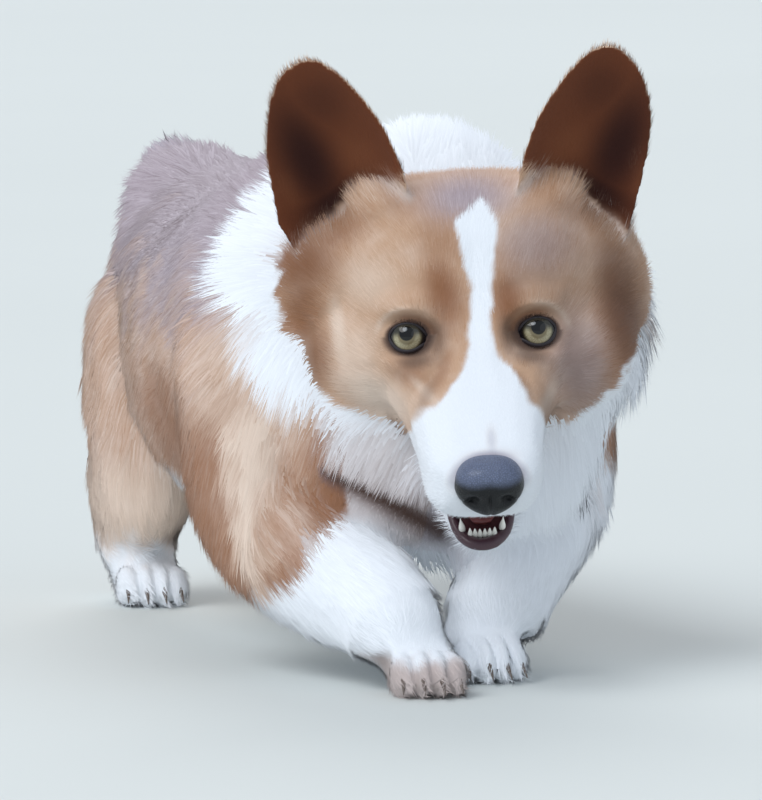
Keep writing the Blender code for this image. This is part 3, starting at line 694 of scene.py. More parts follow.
    arm_front = bell(y_body + 1.2 * wander - 0.0475, 0.0085) * smooth_step(0.062, 0.072, np.abs(x)) * smooth_step(0.145, 0.125, z_body)
    cream = np.maximum(cream, 0.80 * arm_front * smooth_step(0.030, 0.050, z_body) * trunk)
    cream = np.maximum(cream, 0.35 * smooth_step(0.165, 0.150, z_body) * smooth_step(0.10, 0.12, z_body) * smooth_step(0.10, 0.05, y_body)
                       * (share["fore_upper"] + share["neck"] + share["chest"]))
    cream *= 1 - 0.8 * np.clip(dusk, 0, 1)
    grey = 0.85 * spot(u, v, (0, 62), (22, 12))
    # painted shade: the brow and cheek on the dog's left, turned from the key light, are greyed with saddle
    grey = np.maximum(grey, 0.45 * spot(u, v, (30, 40), (20, 15)))
    grey = np.maximum(grey, 0.50 * spot(u, v, (48, -14), (15, 26)))
    saddle = np.maximum(saddle, grey * near_face)
    pad_smudge = 0.45 * spot(u, v, (5.6, -47), (2.2, 5.5)) + 0.7 * spot(u, v, (4.7, -55), (10.0, 3.0))
    saddle = np.maximum(saddle, np.minimum(1, 2.5 * pad_smudge) * near_face)
    nose_edge = 0.6 * smooth_step(1.34, 1.04, nose_reach(local)) * smooth_step(-26, -16, z)
    # painted shade: the gap below the ruff's fringe is painted dark grey-brown (more saddle and dusk, less white,
    # below), standing in for its shadow
    gap = under_ruff(design)[0]
    # painted shade: the white of the throat under the head is greyed, standing in for the head's shade on it
    throat_shade = share["neck"] * smooth_step(0.130, 0.095, z_body) * smooth_step(0.055, 0.035, y_body) * smooth_step(0.035, 0.010, x)
    saddle = np.maximum(saddle, smooth_step(0, 0.3, throat_shade) * white)
    saddle = np.maximum(saddle, np.minimum(1, 4 * np.maximum(nose_edge, gap)))
    white = white * (1 - 0.8 * pad_smudge) * (1 - 0.6 * toe_brown) * (1 - nose_edge) * (1 - gap) * (1 - 0.42 * throat_shade)
    rust = np.maximum(rust, 0.6 * toe_brown)
    dusk = np.maximum(dusk, 0.92 * gap)
    for side in (-1, 1):
        ring, aside, lift, height = opening_ring(points, side)
        inwards = smooth_step(4, -6, aside / MM)
        reach = np.where(lift > 0, 1.36 + 0.15 * inwards, 1.62 + 0.60 * inwards)
        dusk = np.maximum(dusk, 0.95 * smooth_step(1, 0, (ring - 1.1) / (reach - 1.1)) * (height > -0.006))
        rust = np.maximum(rust, 0.75 * smooth_step(2.0, 1.4, ring) * (lift > 0) * (height > -0.006) * smooth_step(8, 0, aside / MM))

    # inside the ear, above the border with the head's tan
    out_mm, _, up_ear = on_ear(local).T
    turned = on_ear(local, normals @ HEAD_TURN)[:, 1]
    above = smooth_step(-2.0, 3.0, up_ear - columns(EAR_BORDER, out_mm)[0] + 1.5 * ragged)
    inner = ear * above * smooth_step(0.25, -0.15, turned)
    # painted shade and light inside the ear: darker in its hollows, paler on the patches the light falls on
    hollow = np.maximum(spot(out_mm, up_ear, (14, 32), (12, 31), -6), spot(out_mm, up_ear, (10, 8), (17, 11), -20))
    hollow = np.maximum(hollow, 0.45 * spot(out_mm, up_ear, (0, 60), (13, 14)))
    glow = np.maximum(0.6 * spot(out_mm, up_ear, (-8, 28), (10, 11), -30), 0.7 * spot(out_mm, up_ear, (25, 22), (4, 9)))
    rim = ear * smooth_step(0.80, 0.45, np.abs(turned)) * smooth_step(20, 34, up_ear)
    found = dict(white=white, saddle=saddle, rust=rust, cream=cream, dusk=dusk, ear=inner,
                 hollow=hollow, glow=glow, rim=rim)
    return {key: np.clip(value, 0, 1) for key, value in found.items()}


points, normals = arrays_of(skin.data)
ends = edges_of(skin.data)
label = nearest_parts(points)
weights = averaged(np.eye(len(PARTS))[label], ends, 5)
marks = markings(points, normals, weights)
print("mean share of each marking:", {k: round(float(m.mean()), 3) for k, m in marks.items()})

# %% [markdown]
# ## Coat materials
# Hair is a dull keratin fibre: roughness about 0.6 with a soft sheen at grazing angles. The
# marking shares arrive as attributes and mix named hair colours; each tuft has its own tone, and
# is painted darker at the root and paler towards the tip: painted shade down among the hairs.

# %% Coat material
HAIR_IOR = 1.55
FAWN, FAWN_PALE, FAWN_DEEP = "#BF9879", "#DAC1B0", "#A27349"
SADDLE, SADDLE_DEEP = "#B2A8B4", "#887E88"
# the dusky brown serves both as the face's own dark colour and as painted shade, in the gap below the ruff and on the
# face's side away from the key light
RUST, CREAM, DUSK_AND_SHADE, WHITE = "#7D4B29", "#E3D0C0", "#463530", "#E7EBF1"
# the ear's own brown, a painted shade colour for its hollows, a painted light colour for its lit patches, and its pale
# fringe
EAR_BROWN, EAR_HOLLOW_SHADE, EAR_GLOW, EAR_RIM = "#69371E", "#300F07", "#784428", "#D2B49A"


def coat_material(name, skin_like=False):
    material, tree, surface = new_material(
        name, Roughness=0.65, IOR=HAIR_IOR, Specular_IOR_Level=0.15, Sheen_Weight=0.08, Sheen_Roughness=0.5)
    split = []
    for attribute in ("marks_a", "marks_b", "marks_c", "strand"):
        source = add(tree, "Attribute", attribute_name=attribute)
        split.append(add(tree, "SeparateXYZ", {0: source.outputs["Vector"]}).outputs)
    (white, saddle, dusk), (rust, cream, ear), (hollow, glow, rim), (vary, along, streak) = split
    spot_at = add(tree, "TexCoord").outputs["Object"]
    patchy = add(tree, "TexNoise", {"Vector": spot_at, "Scale": 55.0, "Detail": 3.0})
    fawn = mixed(tree, vary, linear(FAWN_DEEP), linear(FAWN_PALE))
    fawn = mixed(tree, 0.55, fawn, linear(FAWN))
    light_patch = add(tree, "MapRange", {"Value": patchy.outputs["Fac"], "From Min": 0.45, "From Max": 0.70, "To Min": 0.0, "To Max": 0.45})
    fawn = mixed(tree, light_patch.outputs[0], fawn, linear(FAWN_PALE))
    fawn = mixed(tree, streak, fawn, linear(CREAM))
    grey = mixed(tree, vary, linear(SADDLE_DEEP), linear(SADDLE))
    tone = mixed(tree, saddle, fawn, grey)
    tone = mixed(tree, rust, tone, mixed(tree, 0.15, linear(RUST), fawn))
    tone = mixed(tree, cream, tone, linear(CREAM))
    tone = mixed(tree, dusk, tone, linear(DUSK_AND_SHADE))
    tone = mixed(tree, white, tone, linear(WHITE))
    # inside the ear: painted light on the lit patches, painted shade in the hollows
    inner = mixed(tree, glow, linear(EAR_BROWN), linear(EAR_GLOW))
    inner = mixed(tree, hollow, inner, linear(EAR_HOLLOW_SHADE))
    tone = mixed(tree, ear, tone, inner)
    tone = mixed(tree, rim, tone, linear(EAR_RIM))
    shade = add(tree, "MapRange", {"Value": along, "From Min": 0.0, "From Max": 0.7, "To Min": 0.91, "To Max": 1.0})
    own = add(tree, "MapRange", {"Value": vary, "From Min": 0.0, "From Max": 1.0, "To Min": 0.94, "To Max": 1.04})
    light = add(tree, "Math", {0: shade.outputs[0], 1: own.outputs[0]}, operation="MULTIPLY")
    tint = add(tree, "CombineColor", {0: light.outputs[0], 1: light.outputs[0], 2: light.outputs[0]})
    tone = mixed(tree, 1.0, tone, tint.outputs[0], "MULTIPLY")
    tree.links.new(tone, surface.inputs["Base Color"])
    if skin_like:
        fibre = add(tree, "TexNoise", {"Vector": spot_at, "Scale": 900.0, "Detail": 4.0})
        bump = add(tree, "Bump", {"Height": fibre.outputs["Fac"], "Strength": 0.35, "Distance": 0.0006})
        tree.links.new(bump.outputs["Normal"], surface.inputs["Normal"])
    return material


def set_marks(mesh, marks, vary, along, streak):
    """Writes the marking shares and each tuft's own numbers as point attributes."""
    groups = {"marks_a": ("white", "saddle", "dusk"), "marks_b": ("rust", "cream", "ear"), "marks_c": ("hollow", "glow", "rim")}
    columns_of = {name: [marks[key] for key in keys] for name, keys in groups.items()}
    columns_of["strand"] = [vary, along, streak]
    for name, parts in columns_of.items():
        layer = mesh.attributes.new(name, "FLOAT_VECTOR", "POINT")
        layer.data.foreach_set("vector", np.stack(parts, axis=1).astype(np.float32).ravel())


LOWER_LIP = ((0.0235, -0.006, -0.0470), (0.0215, -0.020, -0.0480), (0.0183, -0.035, -0.0495), (0.0150, -0.050, -0.0530),
             (0.0125, -0.060, -0.0565), (0.0092, -0.0675, -0.0592), (0.0045, -0.0722, -0.0608), (0, -0.0730, -0.0611))
UPPER_LIP = ((0.0235, -0.010, -0.0490), (0.0225, -0.030, -0.0480), (0.0205, -0.050, -0.0475), (0.0170, -0.064, -0.0475),
             (0.0110, -0.073, -0.0460), (0.0050, -0.077, -0.0445), (0, -0.078, -0.0440))
local = to_head(points)
faces_up = normals @ HEAD_TURN[:, 2]
lip_aside = np.interp(local[:, 1], np.array(LOWER_LIP)[::-1, 1], np.array(LOWER_LIP)[::-1, 0])
inside = (local[:, 1] < -0.006) & (local[:, 1] > -0.078) & (np.abs(local[:, 0]) < lip_aside + 0.5 * MM)
above_lip = inside & (local[:, 2] > -0.0625) & (faces_up > 0.05) & (weights[:, PARTS.index("jaw")] > 0.3)
under_lip = inside & (faces_up < -0.30) & (local[:, 2] < -0.036) & (weights[:, PARTS.index("muzzle")] > 0.35)
in_mouth = above_lip | under_lip
lining, tree, surface = new_material("mouth_lining", Roughness=0.38, IOR=1.4, Coat_Weight=0.4, Coat_Roughness=0.2)
flesh = add(tree, "TexNoise", {"Scale": 400.0, "Detail": 3.0})
tree.links.new(mixed(tree, flesh.outputs["Fac"], linear("#32191C"), linear("#5C3236")), surface.inputs["Base Color"])
bump = add(tree, "Bump", {"Height": flesh.outputs["Fac"], "Strength": 0.4, "Distance": 0.0005})
tree.links.new(bump.outputs["Normal"], surface.inputs["Normal"])
skin.data.materials.append(coat_material("coat_skin", skin_like=True))
skin.data.materials.append(lining)
skin.data.polygons.foreach_set("material_index", [int(all(in_mouth[v] for v in p.vertices)) for p in skin.data.polygons])
count = len(skin.data.vertices)
# the skin takes the tone of a tuft's lower part: painted shade under the coat
set_marks(skin.data, marks, np.full(count, 0.5), np.full(count, 0.3), np.zeros(count))

# %% [markdown]
# ## The coat's lie
# Hair runs from the nose back over the face, up the ears, back along the body and down the
# limbs. Every part has its own direction, length, thickness and lift; the soft weights blend
# them.

# %% Hair by part
# length mm, lift degrees, and how strongly tips gather
HAIR = dict(
    head=(8.5, 11, 0.25), muzzle=(4.5, 9, 0.10), jaw=(7.5, 34, 0.15), ear=(4.5, 9, 0.10), neck=(25, 17, 0.38),
    chest=(22, 11, 0.34), loin=(21, 10, 0.32), rump=(22, 12, 0.34), tail=(17, 16, 0.35), fore_upper=(19, 11, 0.34),
    fore_lower=(17, 12, 0.36), fore_paw=(9, 9, 0.2), hind_upper=(20, 11, 0.32), hind_lower=(15, 12, 0.32), hind_paw=(9, 9, 0.2))
hair = weights @ np.array([HAIR[p] for p in PARTS])
ear_places = on_ear(to_head(points))
over_ear = bell((ear_places[:, 2] - columns(EAR_BORDER, ear_places[:, 0])[0] + 3) / 6, 1) * (weights[:, [PARTS.index("head"), PARTS.index("ear")]].sum(axis=1) > 0.8)
hair[:, 0] += 7 * over_ear
_, above_gap, by_gap = under_ruff(points - SHIFT)
hair[:, 0] = np.where(by_gap * (above_gap > -20) > 0.3, np.minimum(hair[:, 0], np.maximum(above_gap, 0) + 4), hair[:, 0])
for side in (-1, 1):
    ring, _, _, height = opening_ring(points, side)
    hair[:, 0] *= np.where(height > -0.006, 0.30 + 0.70 * smooth_step(1.1, 2.5, ring), 1)
hair[:, 0] *= 0.45 + 0.55 * smooth_step(1.0, 1.7, nose_reach(to_head(points)))
hair[:, 1] += 6 * over_ear
NOSE_TIP = np.array((0, -0.086, -0.022))
EAR_LEAN = {side: HEAD_TURN @ ear_turn(side) @ (0, 0, 1) for side in (-1, 1)}


def lie_of(points, weights):
    """Which way the hair points at each place, before it is laid along the skin."""
    share = {p: weights[:, i:i + 1] for i, p in enumerate(PARTS)}
    local = to_head(points)
    design = points - SHIFT
    side = np.where(local[:, :1] > 0, 1.0, -1.0)
    away = local - NOSE_TIP
    away /= np.linalg.norm(away, axis=1, keepdims=True)
    cheek = smooth_step(0.0, 0.05, local[:, 1:2]) * smooth_step(0.02, -0.03, local[:, 2:3])
    away = away + cheek * np.array((0, 0.1, -0.75)) + cheek * side * (0.35, 0, 0)
    for s in (-1, 1):
        from_eye = local - (s * EYE_HALF_SPACING, EYE_BACK, -EYE_DROP)
        reach = np.linalg.norm(from_eye, axis=1, keepdims=True)
        away += 1.2 * from_eye / reach * bell(reach, 17 * MM)
    face = away @ HEAD_TURN.T
    ear = np.where(side > 0, EAR_LEAN[1], EAR_LEAN[-1])
    body_side = np.where(design[:, :1] > 0, 1.0, -1.0)
    height = smooth_step(0.13, 0.22, design[:, 2:3])
    collar = (1 - height) * ((0, 0.32, -1.0) + body_side * (0.22, 0, 0)) + height * ((0, 1.0, 0.10) + body_side * (0.25, 0, 0))
    low = smooth_step(0.21, 0.12, design[:, 2:3])
    trunk = (0, 1, 0) + low * (0, -0.15, -0.85)
    rump = (0, 0.7, -0.35) + low * (0, -0.3, -0.7)
    fore = np.where(body_side > 0, (-0.5, -0.55, -0.7), (0.5, -0.75, -0.6))
    paw = np.array((0, -1.0, -0.35))
    down = np.array((0, 0.25, -1.0))
    flow = (face * (share["head"] + share["muzzle"] + share["jaw"]) + ear * share["ear"] + collar * share["neck"]
            + trunk * (share["chest"] + share["loin"]) + rump * share["rump"] + np.array((0, 0.8, 0.5)) * share["tail"]
            + down * (share["fore_upper"] + share["hind_upper"] + share["hind_lower"]) + fore * share["fore_lower"]
            + paw * (share["fore_paw"] + share["hind_paw"]))
    return flow


flow = lie_of(points, weights)
print("hair length from", hair[:, 0].min().round(1), "to", hair[:, 0].max().round(1), "mm")

# %% [markdown]
# ## Tufts
# A tuft is a thin three-sided lock with a bend in it: rooted just under the skin, lifted a
# little, then laid over its neighbours to a point. Tips in one small cell of space are drawn
# together, which gives the soft pointed locks of a double coat.

# %% Roots over the skin
skin.data.calc_loop_triangles()
TRI_COUNT = len(skin.data.loop_triangles)
tri_points = np.empty(TRI_COUNT * 3, np.int32)
tri_loops = np.empty(TRI_COUNT * 3, np.int32)
skin.data.loop_triangles.foreach_get("vertices", tri_points)
skin.data.loop_triangles.foreach_get("loops", tri_loops)
tri_points, tri_loops = tri_points.reshape(-1, 3), tri_loops.reshape(-1, 3)
skin_uv = np.empty(len(skin.data.loops) * 2, np.float32)
skin.data.uv_layers["OFBake"].data.foreach_get("uv", skin_uv)
skin_uv = skin_uv.reshape(-1, 2)
corner = points[tri_points]
tri_area_cm2 = np.linalg.norm(np.cross(corner[:, 1] - corner[:, 0], corner[:, 2] - corner[:, 0]), axis=1) / 2 * 1e4
print("skin area", tri_area_cm2.sum().round(0), "cm2")


def rooted(density, seed):
    """Roots spread evenly over the skin: triangle numbers and the three corner shares of each."""
    maker = np.random.default_rng(seed)
    expected = np.cumsum(tri_area_cm2 * density[tri_points].mean(axis=1))
    wanted = np.arange(int(expected[-1])) + maker.uniform(0, 1, int(expected[-1]))
    tri = np.searchsorted(expected, wanted).clip(0, TRI_COUNT - 1)
    r, s = np.sqrt(maker.uniform(0, 1, len(tri))), maker.uniform(0, 1, len(tri))
    return tri, np.stack([1 - r, r * (1 - s), r * s], axis=1)


def at_roots(tri, share, values):
    return np.einsum("nk,nk...->n...", share, values[tri_points[tri]])


def unit(vectors):
    return vectors / np.maximum(np.linalg.norm(vectors, axis=-1, keepdims=True), 1e-12)


def clumped(tips, cell_mm, strength):
    """Tips drawn towards the mean of those in the same small cell of space."""
    cell = np.floor((tips + waver_vector(tips, 14, 31) * 2 * MM) / (cell_mm * MM)).astype(np.int64)
    key = cell @ np.array((73856093, 19349663, 83492791))
    _, group = np.unique(key, return_inverse=True)
    size = np.bincount(group)
    mean = np.stack([np.bincount(group, tips[:, k]) / size for k in range(3)], axis=1)
    return tips + (mean[group] - tips) * strength[:, None]


def waver_vector(points, scale, seed):
    return np.stack([waver(points, scale, seed + k) for k in range(3)], axis=1)


PATCH = 0.003          # how wide each tuft's own patch of the unwrap is
SOFT_NORMAL = 0.90     # how far a tuft's shading follows the skin under it
FLATNESS = 0.4         # a tuft's thickness over its width
SKY_LEAN = 0.30        # how far shading turns up to the sky, as light soaks through real hair


def tuft_mesh(name, base, mid, tip, width, normal, marks, vary, streak, uv, bend=True):
    """One mesh of three-sided tufts, with two rings and a point, or one ring and a point."""
    n = len(base)
    axis1 = unit(mid - base) if bend else unit(tip - base)
    axis2 = unit(tip - mid) if bend else axis1
    rings = []
    hubs = [(base, axis1, 0.75 if bend else 1.0, 0.0)]
    if bend:
        hubs.append((mid, unit(axis1 + axis2), 1.0, 0.5))
    all_points, all_normals, all_along, all_st = [], [], [], []
    for centre_, axis, swell, along in hubs:
        across = unit(np.cross(axis, normal))
        rise_ = np.cross(axis, across)
        for k in range(3):
            angle = math.radians(90 + 120 * k)
            spoke = across * math.cos(angle) + rise_ * math.sin(angle) * FLATNESS
            all_points.append(centre_ + spoke * (width * swell / 2)[:, None])
            all_normals.append(unit(normal * SOFT_NORMAL + unit(spoke) * (1 - SOFT_NORMAL)))
            all_along.append(along)
            all_st.append((k / 2, along))
    all_points.append(tip)
    all_normals.append(unit(normal * SOFT_NORMAL + rise_ * (1 - SOFT_NORMAL)))
    all_along.append(1.0)
    all_st.append((0.5, 1.0))
    per = len(all_points)
    verts = np.stack(all_points, axis=1).reshape(-1, 3)
    shading = np.stack(all_normals, axis=1).reshape(-1, 3)
    pattern = []
    for ring in range(1 if bend else 0):
        for k in range(3):
            a_, b_ = ring * 3 + k, ring * 3 + (k + 1) % 3
            pattern += [(a_, b_, b_ + 3), (a_, b_ + 3, a_ + 3)]
    last = per - 4
    pattern += [(last + k, last + (k + 1) % 3, per - 1) for k in range(3)]
    pattern = np.array(pattern)
    faces = (pattern[None] + (np.arange(n) * per)[:, None, None]).reshape(-1, 3)
    mesh = bpy.data.meshes.new(name)
    mesh.vertices.add(len(verts))
    mesh.vertices.foreach_set("co", verts.astype(np.float32).ravel())
    mesh.loops.add(faces.size)
    mesh.loops.foreach_set("vertex_index", faces.astype(np.int32).ravel())
    mesh.polygons.add(len(faces))
    mesh.polygons.foreach_set("loop_start", np.arange(0, faces.size, 3, dtype=np.int32))
    mesh.update(calc_edges=True)
    st = np.array(all_st)[pattern.ravel()]
    where = np.repeat(uv, len(pattern) * 3, axis=0) + np.tile(st, (n, 1)) * PATCH
    layer = mesh.uv_layers.new(name="OFBake")
    layer.data.foreach_set("uv", where.astype(np.float32).ravel())
    along_ = np.tile(np.array(all_along), n)
    set_marks(mesh, {k: np.repeat(m, per) for k, m in marks.items()}, np.repeat(vary, per), along_, np.repeat(streak, per))
    free = mesh.attributes.new("custom_normal", "FLOAT_VECTOR", "POINT")
    free.data.foreach_set("vector", shading.astype(np.float32).ravel())
    return mesh


# %% Grow the coat
coat_mat = coat_material("coat_hair")
LONG_HAIR = 11.0       # from this length, in mm, tips gather in locks and colours run in streaks


def grow(name, density, seed, bend, pieces, width_mm, length_scale=1.0, lift_extra=0.0, cell_mm=7.0):
    """Tufts over the skin at this density per square centimetre, in this many joined meshes."""
    tri, share = rooted(density, seed)
    count = len(tri)
    maker = np.random.default_rng(seed + 1)
    root = at_roots(tri, share, points)
    normal = unit(at_roots(tri, share, normals))
    parts_here = at_roots(tri, share, weights)
    length_mm, lift_deg, gather = at_roots(tri, share, hair).T
    length = length_mm * MM * length_scale * maker.uniform(0.70, 1.12, count)
    width = width_mm * MM * maker.uniform(0.75, 1.2, count) * np.clip(length_mm / 16, 0.6, 1.1)
    lift = np.radians(lift_deg + lift_extra + maker.normal(0, 3.0, count))
    way = unit(at_roots(tri, share, flow))
    way = way + waver_vector(root, 26, 41) * 0.20 + maker.normal(0, 0.09, (count, 3))
    way = unit(way - normal * np.sum(way * normal, axis=1, keepdims=True))
    rim = markings(root, normal, parts_here)["rim"]
    length = length * (1 + 0.4 * rim)
    lift = lift * (1 + 0.8 * rim)
    first = way * np.cos(lift)[:, None] + normal * np.sin(lift)[:, None]
    second = way * np.cos(lift * 0.35)[:, None] + normal * np.sin(lift * 0.35)[:, None]
    second = unit(second + np.array((0, 0, -0.08)))
    normal = unit(normal + (0, 0, SKY_LEAN))
    base = root - normal * 0.4 * MM
    mid = root + first * (length * 0.45)[:, None]
    tip = mid + second * (length * 0.55)[:, None]
    long_hair = length_mm > LONG_HAIR
    closer = clumped(tip, cell_mm, gather * long_hair)
    closer = clumped(closer, cell_mm / 2, 0.6 * gather * long_hair)
    mid = mid + (closer - tip) * 0.35
    tip = closer
    tip[:, 2] = np.maximum(tip[:, 2], 0.5 * MM)
    mid[:, 2] = np.maximum(mid[:, 2], 0.7 * MM)
    seen = root + (tip - root) * 0.6
    marks_here = markings(seen, normal, parts_here)
    stretched = seen - way * np.sum(seen * way, axis=1, keepdims=True) * 0.85
    vary = np.clip(0.5 + 0.16 * maker.normal(size=count) + 0.16 * waver(stretched, 3.5, 51), 0, 1)
    streak = smooth_step(0.25, 1.3, waver(stretched, 6, 61)) * 0.55 * long_hair
    uv = np.einsum("nk,nkd->nd", share, skin_uv[tri_loops[tri]])
    for i in range(pieces):
        pick = slice(i, None, pieces)
        mesh = tuft_mesh(f"{name}_{i + 1}", base[pick], mid[pick], tip[pick], width[pick], normal[pick],
                         {k: m[pick] for k, m in marks_here.items()}, vary[pick], streak[pick], uv[pick], bend)
        piece = place(f"{name}_{i + 1}", mesh, coat_mat)
        # real hair is so fine that light soaks through it, so tufts take no shade from each other
        piece.visible_shadow = piece.visible_diffuse = False
        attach(piece, "root")
        print(piece.name, "tufts", len(base[pick]), "triangles", len(mesh.polygons))


is_short = weights[:, [PARTS.index(p) for p in ("head", "muzzle", "jaw", "ear")]].sum(axis=1) > 0.5
local = to_head(points)
bare = (opening_ring(points, -1)[0] > 1.10) | (opening_ring(points, -1)[3] < -4 * MM)
bare &= (opening_ring(points, 1)[0] > 1.10) | (opening_ring(points, 1)[3] < -4 * MM)
bare &= nose_reach(local) > 1.02
haired = (bare & ~in_mouth) * 1.0
grow("coat_short", 125 * haired * is_short, 101, False, 2, 0.55)
grow("coat_locks", 23 * haired * ~is_short, 201, True, 3, 1.1, cell_mm=8.0)
grow("coat_fine", 93 * haired * ~is_short, 301, False, 4, 0.42, lift_extra=2.0, cell_mm=5.0)

# %% [markdown]
# ## Claws
# Four blunt dark claws leave the toes of each paw just above the floor, curved a little down.

# %% Claws
claw_mat, tree, surface = new_material("claw_horn", Roughness=0.34, IOR=1.54, Coat_Weight=0.3, Coat_Roughness=0.2)
grain = add(tree, "TexNoise", {"Scale": 900.0, "Detail": 4.0, "Distortion": 1.0})
tree.links.new(mixed(tree, grain.outputs["Fac"], linear("#2A2220"), linear("#6B5A4E")), surface.inputs["Base Color"])
CLAW_LENGTH, CLAW_RADIUS, CLAW_SIDES, CLAW_RINGS = 7.5 * MM, 1.9 * MM, 10, 6
for paw, (x, y, turned) in PAWS.items():
    made, faces = [], []
    for k in range(4):
        across = (k - 1.5) / 2
        foot = np.array((across * 16.4, -25.5 + 10 * across ** 2, 9.2)) * MM
        start = len(made)
        for ring in range(CLAW_RINGS + 1):
            t = ring / CLAW_RINGS
            centre = foot + np.array((across * 1.5 * MM * t, -CLAW_LENGTH * t, -6.0 * MM * t ** 1.6))
            radius = CLAW_RADIUS * (1 - 0.85 * t ** 1.4)
            for m in range(CLAW_SIDES):
                angle = 2 * math.pi * m / CLAW_SIDES
                made.append(centre + (radius * 0.75 * math.cos(angle), 0.25 * radius * math.sin(angle), radius * math.sin(angle)))
        for ring in range(CLAW_RINGS):
            for m in range(CLAW_SIDES):
                first, second = start + ring * CLAW_SIDES + m, start + ring * CLAW_SIDES + (m + 1) % CLAW_SIDES
                faces.append((first, second, second + CLAW_SIDES, first + CLAW_SIDES))
        faces.append(tuple(start + m for m in range(CLAW_SIDES))[::-1])
        faces.append(tuple(start + CLAW_RINGS * CLAW_SIDES + m for m in range(CLAW_SIDES)))
    seat = np.array(Matrix.Rotation(math.radians(turned), 3, "Z"))
    piece = place("claws_" + paw, mesh_of("claws_" + paw, np.array(made) @ seat.T + SHIFT + (x, y, 0), faces), claw_mat)
    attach(piece, "root")

# %% [markdown]
# ## Eyes
# A dog's eye is a wet ball whose clear front bulges over a flat coloured iris. Seen from any
# side it reads as one glossy body, so each eye is one ball with the cornea's bulge, an iris
# drawn in rings and fibres from its own polar coordinates, and a clear coat over the whole.

# %% Eyeballs
IRIS_RADIUS, CORNEA_RADIUS = 6.9 * MM, 7.6 * MM
CORNEA_BULGE = 0.9 * MM
PUPIL_UP = 1.1                # mm, as the dog looks out from under its brows

eye_mat, tree, surface = new_material("wet_eye", Roughness=0.5, Specular_IOR_Level=0.0, Coat_Weight=1.0, Coat_Roughness=0.04, Coat_IOR=1.5, IOR=1.38)
polar = add(tree, "Attribute", attribute_name="iris_at")
radius_mm = add(tree, "SeparateXYZ", {0: polar.outputs["Vector"]}).outputs[2]
fibre_at = add(tree, "VectorMath", {0: polar.outputs["Vector"], 1: (4.0, 4.0, 0.35)}, operation="MULTIPLY")
fibres = add(tree, "TexNoise", {"Vector": fibre_at.outputs[0], "Scale": 3.0, "Detail": 4.0, "Roughness": 0.7})
fibre_tone = add(tree, "MapRange", {"Value": fibres.outputs["Fac"], "From Min": 0.35, "From Max": 0.65})
iris = mixed(tree, fibre_tone.outputs[0], linear("#8A8164"), linear("#BDB698"))


def ring_mask(inner, outer):
    return add(tree, "MapRange", {"Value": radius_mm, "From Min": inner, "From Max": outer},
               interpolation_type="SMOOTHSTEP").outputs[0]


iris = mixed(tree, ring_mask(4.6, 3.4), iris, linear("#7A6F53"))
iris = mixed(tree, ring_mask(5.4, 6.6), iris, linear("#5A543F"))
iris = mixed(tree, ring_mask(6.2, 7.1), iris, linear("#141110"))
around = mixed(tree, ring_mask(8.0, 9.5), linear("#16141A"), linear("#6E6670"))
iris = mixed(tree, ring_mask(7.0, 7.9), iris, around)
seen_at = add(tree, "SeparateXYZ", {0: polar.outputs["Vector"]}).outputs
raised = add(tree, "Math", {0: seen_at[1], 1: radius_mm}, operation="MULTIPLY").outputs[0]
aside = add(tree, "Math", {0: seen_at[0], 1: radius_mm}, operation="MULTIPLY").outputs[0]
lid_shade = add(tree, "MapRange", {"Value": raised, "From Min": -1.4, "From Max": 2.2, "To Min": 0.0, "To Max": 0.92},
                interpolation_type="SMOOTHSTEP").outputs[0]
iris = mixed(tree, lid_shade, iris, linear("#15171A"))
above_middle = add(tree, "Math", {0: raised, 1: PUPIL_UP}, operation="SUBTRACT").outputs[0]
from_pupil = add(tree, "VectorMath", {0: add(tree, "CombineXYZ", {0: aside, 1: above_middle}).outputs[0]}, operation="LENGTH")
pupil = add(tree, "MapRange", {"Value": from_pupil.outputs["Value"], "From Min": 3.5, "From Max": 3.0}, interpolation_type="SMOOTHSTEP")
iris = mixed(tree, pupil.outputs[0], iris, linear("#050607"))
tree.links.new(iris, surface.inputs["Base Color"])

RINGS, SPOKES = 40, 64
for side, word in ((-1, "right"), (1, "left")):
    centre, gaze, out, up = eyes[side]
    made, polar_at = [], []
    for i in range(RINGS + 1):
        theta = math.pi * i / RINGS
        rho = EYE_RADIUS * math.sin(theta)
        bulge = 0.0
        if theta < math.pi / 2 and rho < CORNEA_RADIUS:
            bulge = CORNEA_BULGE * (1 - (rho / CORNEA_RADIUS) ** 2) ** 1.5
        for k in range(SPOKES if 0 < i < RINGS else 1):
            phi = 2 * math.pi * k / SPOKES
            flat = rho * (math.cos(phi) * out + math.sin(phi) * up)
            made.append(centre + flat + gaze * (EYE_RADIUS * math.cos(theta) + bulge))
            shown = rho / MM if theta < math.pi / 2 else 21 - rho / MM
            polar_at.append((math.cos(phi), math.sin(phi), shown))
    faces = [(0, 1 + k, 1 + (k + 1) % SPOKES) for k in range(SPOKES)]
    for i in range(RINGS - 2):
        for k in range(SPOKES):
            a_, b_ = 1 + i * SPOKES + k, 1 + i * SPOKES + (k + 1) % SPOKES
            faces.append((a_, a_ + SPOKES, b_ + SPOKES, b_))
    last = len(made) - 1
    faces += [(last, last - SPOKES + (k + 1) % SPOKES, last - SPOKES + k) for k in range(SPOKES)]
    if side < 0:
        faces = [f[::-1] for f in faces]
    mesh = mesh_of("eyeball_" + word, made, faces)
    layer = mesh.attributes.new("iris_at", "FLOAT_VECTOR", "POINT")
    layer.data.foreach_set("vector", np.array(polar_at, np.float32).ravel())
    eyeball = place("eyeball_" + word, mesh, eye_mat)
    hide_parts("eye_" + word)
    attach(eyeball, "root")
print("iris", round(2 * IRIS_RADIUS / MM, 1), "mm across, ball", round(2 * EYE_RADIUS / MM, 1), "mm")

# %% [markdown]
# The margins of the lids are bare black skin, thicker below, drawn out to a point towards the
# nose. Each is a tube laid on the ball along the opening.

